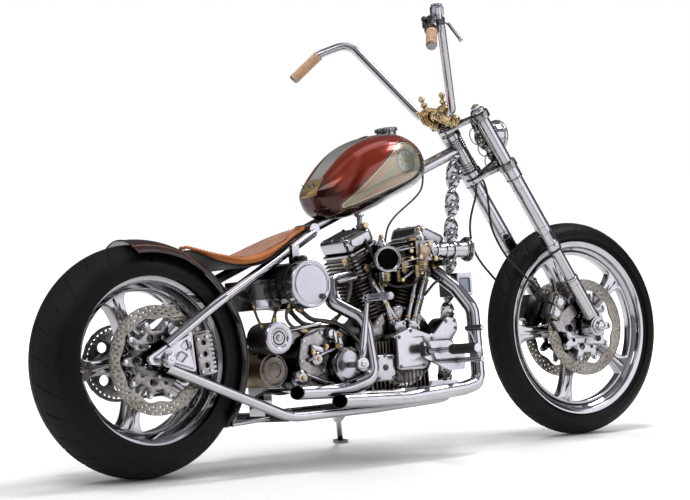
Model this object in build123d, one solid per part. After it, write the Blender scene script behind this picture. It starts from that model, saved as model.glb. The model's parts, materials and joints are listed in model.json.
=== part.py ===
from build123d import *
import math
import os

# Chopper motorcycle in millimetres, modelled upright: X forward from the rear axle, Y left, Z up from the ground.
# At the end every piece leans over to the left on the side stand, and the box's bottom centre becomes the origin.

# Stance
LEAN = 6.9
WHEELBASE = 1635
RAKE = 32
STEM_X = 1222
STEM_Z = 917

# Rear wheel
REAR_TYRE_R = 330
REAR_CROWN_R = 100
REAR_TYRE_WIDTH = 197
REAR_BEAD_R = 228.6
REAR_LIP_R = 243
REAR_RIM_WIDTH = 155
REAR_HUB_R = 42
REAR_HUB_WIDTH = 190
REAR_AXLE_R = 12.5
REAR_NUT_R = 20
NUT_GAP = 0.5
CALIPER_FOOT = 8
REAR_DISC_Y = -112
SPROCKET_R = 100
SPROCKET_Y = 113

# Front wheel
FRONT_TYRE_R = 341.5
FRONT_CROWN_R = 50
FRONT_TYRE_WIDTH = 98
FRONT_BEAD_R = 266.7
FRONT_LIP_R = 279
FRONT_RIM_WIDTH = 70
FRONT_HUB_R = 30
FRONT_HUB_WIDTH = 104
FRONT_AXLE_R = 11
FRONT_DISC_Y = 59

# Wheel parts that both wheels share
SPOKES = 5
RIM_WALL = 6
DISC_R = 158
DISC_INNER_R = 112
DISC_THICK = 5
CARRIER_R = 60
BEARING_GAP = 0.3
TYRE_GAP = 0.3
SEAT_GAP = 0.3
SIDE_GAP = 2

# Frame
TUBE_R = 15
BACKBONE_R = 19
NECK_R = 25
NECK_CUP_R = 30
NECK_TOP = 66
NECK_BOTTOM = -84
CUP_HEIGHT = 14
STEM_R = 14
STEM_GAP = 0.3
LUG_X = 612
LUG_Z = 686
LUG_R = 17
LUG_HALF = 44
PLATE_Y = 158
PLATE_THICK = 14
RAIL_Y = 142
RAIL_Z = 145
DOWN_TUBE_FLAT = (42, 20)
DOWN_TUBE_TURNS = 4
FOOT_X = 1093
FOOT_Z = 182
FOOT_SIZE = (60, 56, 50)

CROSS = (
    # x, z, radius
    (404, RAIL_Z - 3, 13),
    (720, RAIL_Z + 2, 13),
)
# Fork, measured along and ahead of the steering axis
FORK_AHEAD = 60
FORK_HALF = 100
AXLE_AHEAD = 45.5
FORK_TOP = 97
UPPER_TUBE_R = 21.5
LOWER_TUBE_R = 24
TUBE_STEP = -125
SLIDER_TOP = -415
SLIDER_R = 20
CAST_TOP = -535
CAST_R = 23
FORK_LUG_R = 30
FORK_LUG_HALF = 24
FORK_AXLE_CAP = 20
TREE_THICK = 22
TREE_GAP = 5

# Engine
CASE_R = 122
CASE_RIGHT = -70
CASE_LEFT = 85
SUMP_Z = 196
LIFTER_Y = -86
PUSHROD_R = 8
PUSHRODS = (
    # distance of the lower and of the upper end from the middle, along the engine
    (14, -22),
    (38, 8),
)
HEAD_HALF = 60
HEAD_RIGHT = -96
HEAD_LEFT = 70
ROCKER_HALF = 57
COVER_FACE = -140
CAM_COVER = ((812, 250), (812, 360), (868, 378), (950, 350), (1004, 400), (1046, 398), (1052, 362), (1014, 320),
             (932, 283), (921, 250))
PUMP_COVER = ((738, 222), (738, 300), (811, 300), (811, 222))
V_HALF = 22.5
CRANK_X = 880
CRANK_Z = 322
BARREL_FROM = 112
BARREL_TO = 240
BARREL_R = 52
FIN_R = 74
FIN_THICK = 5
FINS = 9
HEAD_TO = 318
ROCKER_TO = 378

# Fender, swung about the rear axle from straight up
FENDER_R = 345
FENDER_CROWN = 150
FENDER_HALF = 101
FENDER_THICK = 3
FENDER_FROM = -6
FENDER_TO = 127
FENDER_CLEAR = 30

# Seat
SEAT = (
    # x, underside, thickness, half width; the first two undersides are heights over the fender
    (182, 14, 12, 24),
    (248, 32, 22, 84),
    (340, 584, 26, 120),
    (450, 623, 24, 98),
    (525, 657, 20, 56),
    (588, 683, 13, 22),
)
PAN_THICK = 4

# Gearbox, primary drive and final drive
GEARBOX_X = 560
GEARBOX_Z = 300
GEARBOX_RIGHT = -108
GEARBOX_LEFT = 70
KICK_X = 632
KICK_Z = 278
KICK_COVER_FACE = -142
KICK_FACE = -192
KICK_SHAFT_R = 9
KICK_TOP = (38, 191)
KICK_PEDAL = 116
PRIMARY_RIGHT = 128
PRIMARY_LEFT = 164
CHAIN_Y = 113
CHAIN_HALF = 8.5
CHAIN_GAP = 0.4
CHAIN_DEPTH = 12
FRONT_SPROCKET_R = 38

# Foot controls
FOOT_BRACKET = ((905, 282), (905, 330), (1000, 330), (1060, 300), (1056, 240), (1000, 238))
PEG_X = 965
PEG_Z = 302
PEG_R = 13
PEG_IN = 205
PEG_OUT = 332
PEDAL_PIVOT = (1030, 268)
PEDAL_X = 988
PEDAL_Z = 361
PEDAL_IN = 255

# Exhausts: route through the corners and the bend at each
EXHAUST_R = 21
EXHAUST_WALL = 2.5
SLASH = 0.6
FRONT_EXHAUST = ((1016, -76, 548), (1064, -122, 488), (1100, -152, 420), (1100, -158, 196), (1030, -168, 182),
                 (790, -185, 168), (536, -198, 177))
FRONT_BENDS = [60, 60, 34, 34, 500]
REAR_EXHAUST = ((745, -62, 546), (618, -90, 530), (604, -112, 466), (694, -146, 410), (697, -170, 236),
                (600, -160, 204), (423, -150, 210))
REAR_BENDS = [30, 26, 60, 50, 300]

# Oil tank and what stands round the gearbox
OIL_X = 510
OIL_Z = 520
OIL_R = 68
OIL_RIGHT = -150
OIL_LEFT = 58
STARTER_X = 392
STARTER_Z = 370
FILTER_X = 396
FILTER_Z = 278

# Handlebar, left half from its end to the middle, with its bends
BAR = ((853, 357, 1191), (913, 290, 1263), (990, 236, 1292), (1138, 78, 1032))
BAR_BENDS = [60, 60, 34]
BAR_R = 12.7
GRIP_R = 16.5
GRIP_SHARE = 0.02
RISER_AHEAD = 8
RISER_HALF = 38

# Headlamp
LAMP = (1342, 0, 966)
LAMP_R = 50
LAMP_LONG = 84

# Brake hoses and throttle cable
HOSE_R = 3.5
HOSE_BEND = 26
HOSE_START = (8, 20)
HOSE_SUNK = 4
HOSE_RIGHT = ((1300, -26, 727), (1294, -36, 668), (1336, -50, 575), (1396, -62, 516), (1446, -66, 464), (1491, -60, 424))
HOSE_LEFT = ((1280, 50, 710), (1286, 60, 640), (1312, 66, 585), (1374, 68, 520), (1440, 66, 462), (1491, 60, 424))
CABLE_R = 3
CABLE = ((1058, -10, 850), (1054, -14, 812), (1012, -32, 778), (948, -55, 746), (882, -76, 712), (836, -92, 670),
         (820, -102, 612))

# Tank, measured along and above the backbone
TANK_X = 617
TANK_Z = 688
TUNNEL_GAP = 6
TANK_CORNER = 0.9
TANK = (
    # along, low, high, half width
    (34, 56, 92, 22),
    (70, 4, 116, 78),
    (140, -20, 146, 110),
    (250, -28, 174, 124),
    (340, -28, 166, 118),
    (410, -26, 138, 96),
    (452, -6, 96, 64),
    (468, 24, 60, 24),
)
CAP_ALONG = 400
CAP_HEIGHT = 142
CAP_R = 30
CAP_SUNK = 6
CAP_PROUD = 20
CAP_GAP = 0.3

# Side stand
STAND_X = 800
STAND_Y = 170
STAND_Z = 128
STAND_FOOT_X = 885
STAND_FOOT_Y = 285
STAND_R = 9

tan_lean = math.tan(math.radians(LEAN))
cos_lean = math.cos(math.radians(LEAN))
rear_z = REAR_TYRE_R - REAR_CROWN_R + REAR_CROWN_R / cos_lean
front_z = FRONT_TYRE_R - FRONT_CROWN_R + FRONT_CROWN_R / cos_lean
neck_angle = math.radians(RAKE)
fork = Plane(
    origin=(STEM_X, 0, STEM_Z),
    x_dir=(math.cos(neck_angle), 0, math.sin(neck_angle)),
    z_dir=(-math.sin(neck_angle), 0, math.cos(neck_angle)),
)
tank_slope = math.atan2(STEM_Z - LUG_Z, STEM_X - 29 - LUG_X)
tank_frame = Plane(
    origin=(TANK_X, 0, TANK_Z),
    x_dir=(math.cos(tank_slope), 0, math.sin(tank_slope)),
    z_dir=(-math.sin(tank_slope), 0, math.cos(tank_slope)),
)
axle_drop = math.cos(neck_angle) * (front_z - STEM_Z) - math.sin(neck_angle) * (WHEELBASE - STEM_X)
rear_wheel_frame = Plane(origin=(0, 0, rear_z), x_dir=(1, 0, 0), z_dir=(0, 1, 0))
front_wheel_frame = Plane(origin=(WHEELBASE, 0, front_z), x_dir=(1, 0, 0), z_dir=(0, 1, 0))
nodes = {}


def tube(points, bends, outer, inner=0):
    path = FilletPolyline(*points, radius=bends) if len(points) > 2 else Line(*points)
    start = Plane(origin=path @ 0, z_dir=path % 0)
    ring = Circle(outer) - Circle(inner) if inner else Circle(outer)
    return sweep(start * ring, path=path)


def rod(a, b, radius):
    a = Vector(*a)
    b = Vector(*b)
    line = b - a
    return Plane(origin=a, z_dir=line) * Pos(0, 0, line.length / 2) * Cylinder(radius, line.length)


def at(frame, ahead, left, up):
    return frame.from_local_coords(Vector(ahead, left, up))


def across(x, z, y_from, y_to, radius):
    return rod((x, y_from, z), (x, y_to, z), radius)


def box_between(x, y, z):
    size = [hi - lo for lo, hi in (x, y, z)]
    middle = [(hi + lo) / 2 for lo, hi in (x, y, z)]
    return Pos(*middle) * Box(*size)


def mirrored(shape):
    return mirror(shape, Plane.XZ)


def pair(shape):
    return Compound(children=[shape, mirrored(shape)])


def ring(frame, outer, inner, y_from, y_to):
    body = Cylinder(outer, y_to - y_from) - Cylinder(inner, y_to - y_from)
    return frame * Pos(0, 0, (y_from + y_to) / 2) * body


# Wheels

def tyre(frame, radius, crown, width, bead, lip, rim_width):
    # Half section in radius and width: crown arc, then a sidewall drawn in to the bead
    side_r = radius - crown + 0.18 * crown
    half = width / 2
    bead_half = rim_width / 2 - RIM_WALL - TYRE_GAP
    with BuildSketch(Plane.XZ) as section:
        with BuildLine():
            ThreePointArc((side_r, -half), (radius, 0), (side_r, half))
            Polyline((side_r, half), (lip + 3, bead_half), (bead + TYRE_GAP, bead_half))
            Line((bead + TYRE_GAP, bead_half), (bead + TYRE_GAP, -bead_half))
            Polyline((bead + TYRE_GAP, -bead_half), (lip + 3, -bead_half), (side_r, -half))
        make_face()
    return frame * revolve(section.sketch, axis=Axis.Z)


def rim(frame, bead, lip, width, hub_r, hub_width, axle_r, spoke_half):
    half = width / 2
    barrel = ring(frame, bead, bead - RIM_WALL, -half, half)
    lips = [ring(frame, lip, bead - RIM_WALL, s * half - (RIM_WALL if s > 0 else 0),
                 s * half + (0 if s > 0 else RIM_WALL)) for s in (-1, 1)]
    wheel = barrel + lips[0] + lips[1] + ring(frame, hub_r, 1, -hub_width / 2, hub_width / 2)
    for k in range(SPOKES):
        with BuildSketch() as blade:
            with BuildLine():
                Polyline((hub_r * 0.8, -spoke_half), (bead * 0.55, -spoke_half * 0.62),
                         (bead - 2, -spoke_half * 1.35), (bead - 2, spoke_half * 1.35),
                         (bead * 0.55, spoke_half * 0.62), (hub_r * 0.8, spoke_half), close=True)
            make_face()
        spoke = extrude(blade.sketch, amount=width * 0.16, both=True)
        spoke = Rot(0, 0, 90 + k * 360 / SPOKES) * spoke & Cylinder(bead - 1, width)
        wheel += frame * spoke
    return wheel - frame * Cylinder(axle_r + BEARING_GAP, hub_width + 20)


def brake_disc(frame, y, carrier_r):
    rotor = ring(frame, DISC_R, DISC_INNER_R, y - DISC_THICK / 2, y + DISC_THICK / 2)
    carrier = ring(frame, carrier_r, carrier_r - 18, y - DISC_THICK / 2, y + DISC_THICK / 2)
    for k in range(SPOKES):
        arm = Pos((carrier_r + DISC_INNER_R) / 2 - 4, 0, y) * Box(DISC_INNER_R - carrier_r + 16, 26, DISC_THICK)
        carrier += frame * Rot(0, 0, 90 + 36 + k * 72) * arm
    return rotor + carrier


def disc_seat(frame, hub_face, disc_face, seat_r, axle_r):
    low = min(hub_face, disc_face)
    high = max(hub_face, disc_face)
    return ring(frame, seat_r, axle_r + BEARING_GAP, low, high)


nodes["rear_tyre"] = tyre(rear_wheel_frame, REAR_TYRE_R, REAR_CROWN_R, REAR_TYRE_WIDTH, REAR_BEAD_R,
                          REAR_LIP_R, REAR_RIM_WIDTH)
nodes["front_tyre"] = tyre(front_wheel_frame, FRONT_TYRE_R, FRONT_CROWN_R, FRONT_TYRE_WIDTH, FRONT_BEAD_R,
                           FRONT_LIP_R, FRONT_RIM_WIDTH)
rear_rim = rim(rear_wheel_frame, REAR_BEAD_R, REAR_LIP_R, REAR_RIM_WIDTH, REAR_HUB_R, REAR_HUB_WIDTH, REAR_AXLE_R, 34)
nodes["rear_rim"] = rear_rim
nodes["front_rim"] = rim(front_wheel_frame, FRONT_BEAD_R, FRONT_LIP_R, FRONT_RIM_WIDTH, FRONT_HUB_R, FRONT_HUB_WIDTH,
                         FRONT_AXLE_R, 30)
rear_disc_inner = REAR_DISC_Y + DISC_THICK / 2
nodes["rear_disc"] = brake_disc(rear_wheel_frame, REAR_DISC_Y, CARRIER_R) + disc_seat(
    rear_wheel_frame, -REAR_HUB_WIDTH / 2, REAR_DISC_Y - DISC_THICK / 2, CARRIER_R - 10, REAR_AXLE_R)
front_discs = []
for side in (-1, 1):
    rotor = brake_disc(front_wheel_frame, side * FRONT_DISC_Y, CARRIER_R)
    seat = disc_seat(front_wheel_frame, side * FRONT_HUB_WIDTH / 2, side * (FRONT_DISC_Y + DISC_THICK / 2),
                     CARRIER_R - 10, FRONT_AXLE_R)
    front_discs.append(rotor + seat)
nodes["front_discs"] = Compound(children=front_discs)
sprocket = ring(rear_wheel_frame, SPROCKET_R, REAR_AXLE_R + BEARING_GAP, SPROCKET_Y - 3, SPROCKET_Y + 3)
nodes["rear_sprocket"] = sprocket + disc_seat(rear_wheel_frame, REAR_HUB_WIDTH / 2, SPROCKET_Y + 3, 40, REAR_AXLE_R)

# Axles with their spacers and end nuts

def axle(frame, radius, nut_r, spacers, plate_outer, nut_len):
    shaft = frame * Cylinder(radius, 2 * (plate_outer + nut_len))
    for y_from, y_to in spacers:
        shaft += ring(frame, radius + 6, radius - 1, y_from, y_to)
    for side in (-1, 1):
        low = plate_outer if side > 0 else -plate_outer - nut_len * 0.7
        shaft += frame * Pos(0, 0, low + nut_len * 0.35) * extrude(RegularPolygon(nut_r, 6), amount=nut_len * 0.35,
                                                                 both=True)
    return shaft


plate_in = PLATE_Y - PLATE_THICK / 2
plate_out = PLATE_Y + PLATE_THICK / 2
nodes["rear_axle"] = axle(
    rear_wheel_frame, REAR_AXLE_R, REAR_NUT_R,
    [(-plate_in, REAR_DISC_Y - DISC_THICK / 2 - SIDE_GAP), (SPROCKET_Y + 3 + SIDE_GAP, plate_in)], plate_out, 24)

# Frame tubes. Each right-hand tube is also made on the left.

neck = fork * Pos(0, 0, (NECK_TOP + NECK_BOTTOM) / 2) * Cylinder(NECK_R, NECK_TOP - NECK_BOTTOM)
neck += fork * Pos(0, 0, NECK_TOP - CUP_HEIGHT / 2) * Cylinder(NECK_CUP_R, CUP_HEIGHT)
neck += fork * Pos(0, 0, NECK_BOTTOM + CUP_HEIGHT / 2) * Cylinder(NECK_CUP_R, CUP_HEIGHT)
neck -= fork * Cylinder(STEM_R + STEM_GAP, 400)
nodes["steering_neck"] = neck
neck_solid = fork * Pos(0, 0, (NECK_TOP + NECK_BOTTOM) / 2) * Cylinder(NECK_R, NECK_TOP - NECK_BOTTOM)

lug = across(LUG_X, LUG_Z, -LUG_HALF, LUG_HALF, LUG_R)
backbone = rod((LUG_X, 0, LUG_Z), (STEM_X - 4, 0, STEM_Z + 10), BACKBONE_R) + lug
nodes["backbone"] = backbone - neck_solid

stay_path = [(4, -PLATE_Y, rear_z + 38), (176, -150, 474), (LUG_X, -LUG_HALF + 12, LUG_Z - 10)]
rail_path = [(2, -PLATE_Y, rear_z - 22), (411, -RAIL_Y, RAIL_Z - 4), (720, -RAIL_Y, RAIL_Z + 2),
             (985, -RAIL_Y + 12, RAIL_Z + 14), (FOOT_X + 2, -18, FOOT_Z)]
stay = tube(stay_path, [400], TUBE_R)
rail = tube(rail_path, [180, 300, 90], TUBE_R) - rear_wheel_frame * Cylinder(REAR_NUT_R + NUT_GAP, 600)
plate_body = Plane(origin=(0, -plate_in, 0), x_dir=(1, 0, 0), z_dir=(0, -1, 0))
with BuildSketch(plate_body) as gusset:
    with BuildLine():
        Polyline((-62, rear_z + 8), (10, rear_z + 46), (84, rear_z + 80), (92, rear_z - 42), (20, rear_z - 18),
                 (-50, rear_z - 12), close=True)
    make_face()
    fillet(gusset.vertices(), 9)
plate = extrude(gusset.sketch, amount=PLATE_THICK)
plate -= rear_wheel_frame * Cylinder(REAR_AXLE_R + 0.2, 500)
plate -= tube(stay_path, [400], TUBE_R + 0.01)
plate -= tube(rail_path, [180, 300, 90], TUBE_R + 0.01)
nodes["axle_plates"] = pair(plate)

foot_block = Pos(FOOT_X, 0, FOOT_Z) * Box(*FOOT_SIZE)
nodes["upper_stays"] = pair(stay - lug)
rail_bars = [rail - foot_block, mirrored(rail) - foot_block]
nodes["lower_rails"] = Compound(children=rail_bars)

# Twisted flat down tube, from the neck's lower cup to its foot on the rails
down_top = Vector(STEM_X - 27, 0, STEM_Z - 12)
down_line = Vector(FOOT_X, 0, FOOT_Z + FOOT_SIZE[2] / 2) - down_top
down_frame = Plane(origin=down_top, x_dir=(0, 1, 0), z_dir=down_line)
twist_steps = 12 * DOWN_TUBE_TURNS
twist_sections = [
    down_frame * Pos(0, 0, down_line.length * k / twist_steps) * Rot(0, 0, 30 * k) * Rectangle(*DOWN_TUBE_FLAT)
    for k in range(twist_steps + 1)
]
nodes["down_tube"] = loft(twist_sections, ruled=True) - neck - neck_solid - backbone + foot_block

bars = [across(x, z, -RAIL_Y + 2, RAIL_Y - 2, r) - rail - mirrored(rail) for x, z, r in CROSS]
nodes["crossmembers"] = Compound(children=bars)

# Side stand: the leg's plane holds the rail's direction, so that it folds back along the rail

stand_foot = Vector(STAND_FOOT_X, STAND_FOOT_Y, STAND_FOOT_Y * tan_lean)
stand_pivot = Vector(STAND_X, STAND_Y, STAND_Z)
leg_end = stand_foot + Vector(0, 0, 9)
leg_line = leg_end - stand_pivot
stand_frame = Plane(origin=stand_pivot, x_dir=(1, 0, 0), z_dir=leg_line.cross(Vector(-1, 0, 0)))
pin_r = 5
lug_plate = stand_frame * box_between((-15, 15), (-46, 15), (-18.5, -6.5))
stand_lug = lug_plate - mirrored(rail) + stand_frame * Pos(0, 0, -5) * Cylinder(pin_r, 27)
stand_lug += stand_frame * Pos(0, 0, 8.5) * Cylinder(9, 4)
nodes["stand_lug"] = stand_lug
leg = rod(stand_pivot, leg_end, STAND_R) + stand_frame * Cylinder(15, 12)
leg -= stand_frame * Cylinder(pin_r + STEM_GAP, 60)
leg -= stand_frame * Pos(0, 0, 18) * Cylinder(24, 24)
leg -= stand_frame * Pos(0, 0, -18) * Cylinder(24, 24)
foot_frame = Plane(origin=stand_foot, x_dir=(1, 0, 0), z_dir=(0, -math.sin(math.radians(LEAN)), cos_lean))
nodes["stand_leg"] = leg + foot_frame * Pos(0, 0, 4) * Cylinder(24, 8)

# Rear fender, a rolled shell around the tyre, and its brackets

fender_start = math.radians(FENDER_FROM)
fender_plane = Plane(origin=(0, 0, rear_z), x_dir=(math.sin(fender_start), 0, math.cos(fender_start)),
                     z_dir=(-math.cos(fender_start), 0, math.sin(fender_start)))


def fender_edge(crown):
    return FENDER_R - FENDER_CROWN + math.sqrt(crown ** 2 - FENDER_HALF ** 2)


with BuildSketch(fender_plane) as fender_section:
    with BuildLine():
        outer_edge = fender_edge(FENDER_CROWN)
        inner_edge = fender_edge(FENDER_CROWN - FENDER_THICK)
        ThreePointArc((outer_edge, -FENDER_HALF), (FENDER_R, 0), (outer_edge, FENDER_HALF))
        Line((outer_edge, FENDER_HALF), (inner_edge, FENDER_HALF))
        ThreePointArc((inner_edge, FENDER_HALF), (FENDER_R - FENDER_THICK, 0), (inner_edge, -FENDER_HALF))
        Line((inner_edge, -FENDER_HALF), (outer_edge, -FENDER_HALF))
    make_face()
fender = revolve(fender_section.sketch, axis=Axis((0, 0, rear_z), (0, 1, 0)), revolution_arc=FENDER_TO - FENDER_FROM)
nodes["rear_fender"] = fender

# Seat: leather cover over a thin pan, carried by the upper stays

def seat_loft(drop, thickness, inset):
    sections = []
    for number, (x, low, thick, half) in enumerate(SEAT):
        if number < 2:
            low += rear_z + math.sqrt(FENDER_R ** 2 - x ** 2)
        height = thickness or thick
        middle = low - drop + height / 2
        section = Plane(origin=(x, 0, middle), x_dir=(0, 1, 0), z_dir=(1, 0, 0))
        sections.append(section * RectangleRounded(2 * (half - inset), height, height * 0.42))
    return loft(sections)


nodes["seat_leather"] = seat_loft(0, 0, 0)
seat_pan = seat_loft(PAN_THICK, PAN_THICK, 6) - nodes["seat_leather"] - stay - mirrored(stay) - fender
nodes["seat_pan"] = seat_pan

# Fuel tank, straddling the backbone

def tank_loft():
    sections = []
    for along, low, high, half in TANK:
        origin = at(tank_frame, along, 0, (low + high) / 2)
        section = Plane(origin=origin, x_dir=(0, 1, 0), z_dir=tank_frame.x_dir)
        corner = TANK_CORNER * min(half, (high - low) / 2)
        sections.append(section * RectangleRounded(2 * half, high - low, corner))
    return loft(sections)


tank_body = tank_loft()
tunnel_r = BACKBONE_R + TUNNEL_GAP
tunnel = tank_frame * box_between((-50, 700), (-tunnel_r, tunnel_r), (-80, tunnel_r))
cap_seat = at(tank_frame, CAP_ALONG, 0, CAP_HEIGHT)
cap_frame = Plane(origin=cap_seat, x_dir=(1, 0, 0), z_dir=(-0.08, 0, 1))
cap_well = cap_frame * Pos(0, 0, 40 - CAP_SUNK) * Cylinder(CAP_R + CAP_GAP, 80)
nodes["fuel_tank"] = tank_body - tunnel - cap_well
nodes["fuel_cap"] = cap_frame * Pos(0, 0, (CAP_PROUD - CAP_SUNK) / 2) * Cylinder(CAP_R, CAP_PROUD + CAP_SUNK)
tank_mounts = [
    tank_frame * Pos(along, 0, BACKBONE_R - 1) * Box(30, 2 * tunnel_r + 8, 12) for along in (110, 430)
]
mounts = Compound(children=[m & tunnel for m in tank_mounts])
nodes["tank_mounts"] = mounts - backbone - neck_solid

# Engine: crankcase, two finned barrels leaning apart, heads, rocker covers

def cylinder_frame(sign):
    lean = sign * math.radians(V_HALF)
    return Plane(origin=(CRANK_X, 0, CRANK_Z), x_dir=(math.cos(lean), 0, -math.sin(lean)),
                 z_dir=(math.sin(lean), 0, math.cos(lean)))


def side_outline(points, y_from, y_to, corner):
    face_plane = Plane(origin=(0, y_from, 0), x_dir=(1, 0, 0), z_dir=(0, -1, 0))
    with BuildSketch(face_plane) as outline:
        with BuildLine():
            Polyline(*points, close=True)
        make_face()
        fillet(outline.vertices(), corner)
    return extrude(outline.sketch, amount=y_from - y_to)


def belt(y_from, y_to, a, a_r, b, b_r):
    # Outline of two circles and their outer tangents, in X and Z
    face_plane = Plane(origin=(0, y_from, 0), x_dir=(1, 0, 0), z_dir=(0, -1, 0))
    span = math.hypot(b[0] - a[0], b[1] - a[1])
    heading = math.atan2(b[1] - a[1], b[0] - a[0])
    turn = math.acos((a_r - b_r) / span)

    def spot(centre, radius, angle):
        return centre[0] + radius * math.cos(angle), centre[1] + radius * math.sin(angle)

    with BuildSketch(face_plane) as outline:
        with BuildLine():
            ThreePointArc(spot(a, a_r, heading + turn), spot(a, a_r, heading + math.pi), spot(a, a_r, heading - turn))
            Line(spot(a, a_r, heading - turn), spot(b, b_r, heading - turn))
            ThreePointArc(spot(b, b_r, heading - turn), spot(b, b_r, heading), spot(b, b_r, heading + turn))
            Line(spot(b, b_r, heading + turn), spot(a, a_r, heading + turn))
        make_face()
    return extrude(outline.sketch, amount=y_from - y_to)


fronts = (-1, 1)
half_space = {-1: box_between((CRANK_X - 400, CRANK_X - 0.5), (-300, 300), (0, 900)),
              1: box_between((CRANK_X + 0.5, CRANK_X + 400), (-300, 300), (0, 900))}
case = belt(CASE_RIGHT, CASE_LEFT, (CRANK_X, CRANK_Z), CASE_R, (CRANK_X - 40, CRANK_Z - 20), CASE_R - 10)
case += box_between((CRANK_X - 118, CRANK_X + 96), (CASE_RIGHT, CASE_LEFT), (SUMP_Z, CRANK_Z))
case += box_between((CRANK_X - 52, CRANK_X + 52), (LIFTER_Y - 14, CASE_RIGHT), (CRANK_Z + 40, CRANK_Z + 66))
for sign in fronts:
    deck = cylinder_frame(sign) * Pos(0, 0, BARREL_FROM / 2) * Cylinder(FIN_R - 6, BARREL_FROM)
    case += deck & half_space[sign]
nodes["crankcase"] = case

fin_pitch = (BARREL_TO - BARREL_FROM - FIN_THICK) / FINS
barrels = []
heads = []
rockers = []
pushrods = []
for sign in fronts:
    frame = cylinder_frame(sign)
    barrel = frame * Pos(0, 0, (BARREL_FROM + BARREL_TO) / 2) * Cylinder(BARREL_R, BARREL_TO - BARREL_FROM)
    for k in range(FINS):
        barrel += frame * Pos(0, 0, BARREL_FROM + fin_pitch * (k + 1)) * Cylinder(FIN_R, FIN_THICK)
    barrels.append((barrel & half_space[sign]) - case)
    head = frame * box_between((-HEAD_HALF, HEAD_HALF), (HEAD_RIGHT, HEAD_LEFT), (BARREL_TO, HEAD_TO))
    head = fillet(head.edges().filter_by(Axis(frame.origin, frame.z_dir)), 22)
    heads.append(head)
    rocker = frame * box_between((-ROCKER_HALF, ROCKER_HALF), (HEAD_RIGHT + 4, HEAD_LEFT - 4), (HEAD_TO, ROCKER_TO))
    rocker = fillet(rocker.edges().filter_by(Axis(frame.origin, frame.z_dir)), 26)
    rocker = fillet(rocker.faces().sort_by(Axis(frame.origin, frame.z_dir))[-1].edges(), 14)
    rockers.append(rocker)
    for base, tip in PUSHRODS:
        top = at(frame, tip, LIFTER_Y, BARREL_TO)
        pushrods.append(rod((CRANK_X + sign * base, LIFTER_Y, CRANK_Z + 66), top, PUSHROD_R) - case - head)
nodes["cylinders"] = Compound(children=barrels)
nodes["cylinder_heads"] = Compound(children=heads)
nodes["rocker_covers"] = Compound(children=rockers)
nodes["pushrod_tubes"] = Compound(children=pushrods)

nodes["cam_cover"] = side_outline(CAM_COVER, CASE_RIGHT, COVER_FACE, 12) - case
nodes["oil_pump"] = side_outline(PUMP_COVER, CASE_RIGHT, COVER_FACE + 12, 5)
gearbox = belt(GEARBOX_RIGHT, GEARBOX_LEFT, (GEARBOX_X, GEARBOX_Z), 92, (GEARBOX_X + 60, GEARBOX_Z - 15), 88)
gearbox += across(KICK_X, KICK_Z, KICK_COVER_FACE, GEARBOX_RIGHT, 52)
gearbox += across(GEARBOX_X, GEARBOX_Z, GEARBOX_LEFT, CHAIN_Y + 2, 18)
gearbox += across(GEARBOX_X, GEARBOX_Z, CHAIN_Y - 4, CHAIN_Y + 4, FRONT_SPROCKET_R)
gearbox += across(KICK_X, KICK_Z, KICK_FACE - 6, KICK_COVER_FACE, KICK_SHAFT_R)
nodes["gearbox"] = gearbox - case
primary = belt(PRIMARY_LEFT, PRIMARY_RIGHT, (GEARBOX_X + 10, GEARBOX_Z), 100, (CRANK_X, CRANK_Z), 84)
primary += belt(PRIMARY_RIGHT, CASE_LEFT, (CRANK_X, CRANK_Z), 84, (CRANK_X - 30, CRANK_Z), 84)
nodes["primary_case"] = primary

chain_outer = belt(CHAIN_Y + CHAIN_HALF, CHAIN_Y - CHAIN_HALF, (0, rear_z), SPROCKET_R + CHAIN_GAP + CHAIN_DEPTH,
                   (GEARBOX_X, GEARBOX_Z), FRONT_SPROCKET_R + CHAIN_GAP + CHAIN_DEPTH)
chain_inner = belt(CHAIN_Y + CHAIN_HALF, CHAIN_Y - CHAIN_HALF, (0, rear_z), SPROCKET_R + CHAIN_GAP,
                   (GEARBOX_X, GEARBOX_Z), FRONT_SPROCKET_R + CHAIN_GAP)
nodes["drive_chain"] = chain_outer - chain_inner

# Kick lever, turned back about its shaft

kick = across(KICK_X, KICK_Z, KICK_FACE - 22, KICK_FACE, 17) - across(KICK_X, KICK_Z, -400, 0, KICK_SHAFT_R + 0.3)
arm_y = KICK_FACE - 11
kick_top = (KICK_X + KICK_TOP[0], arm_y, KICK_Z + KICK_TOP[1])
arm = rod((KICK_X, arm_y, KICK_Z), kick_top, 10) - across(KICK_X, KICK_Z, -400, 0, 16)
kick += arm + rod(kick_top, (kick_top[0] + KICK_PEDAL, arm_y, kick_top[2] - 14), 11)
nodes["kick_lever"] = kick

# Carburettors on the right, one trumpet to the right and back, one ahead

def trumpet(mouth, toward, pipe_r, mouth_r, bore_r, length):
    frame = Plane(origin=mouth, z_dir=toward)
    body = frame * Pos(0, 0, length / 2) * Cylinder(pipe_r, length)
    body += frame * Pos(0, 0, 4) * Cylinder(mouth_r, 8)
    return body - frame * Pos(0, 0, length * 0.4) * Cylinder(bore_r, length * 0.8)


side_trumpet = trumpet((764, -190, 581), (0.5, 0.866, 0), 36, 38, 31, 70)
side_body = box_between((782, 838), (-132, -HEAD_LEFT), (546, 616))
front_trumpet = trumpet((1115, -126, 604), (-1, 0, 0), 21, 33, 17, 160)
front_body = box_between((898, 966), (-156, -100), (574, 634))
runner = across(CRANK_X, 560, -128, -20, 24) + rod((810, -100, 575), (935, -122, 590), 20)
carburettors = side_trumpet + side_body + front_trumpet + front_body + runner
for sign in fronts:
    blocked = nodes["cylinder_heads"].solids()[(sign + 1) // 2] + nodes["rocker_covers"].solids()[(sign + 1) // 2]
    carburettors -= blocked
    carburettors -= nodes["cylinders"].solids()[(sign + 1) // 2]
for pipe in pushrods:
    carburettors -= pipe
nodes["carburettors"] = carburettors

# Exhausts, open at their ends

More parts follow.
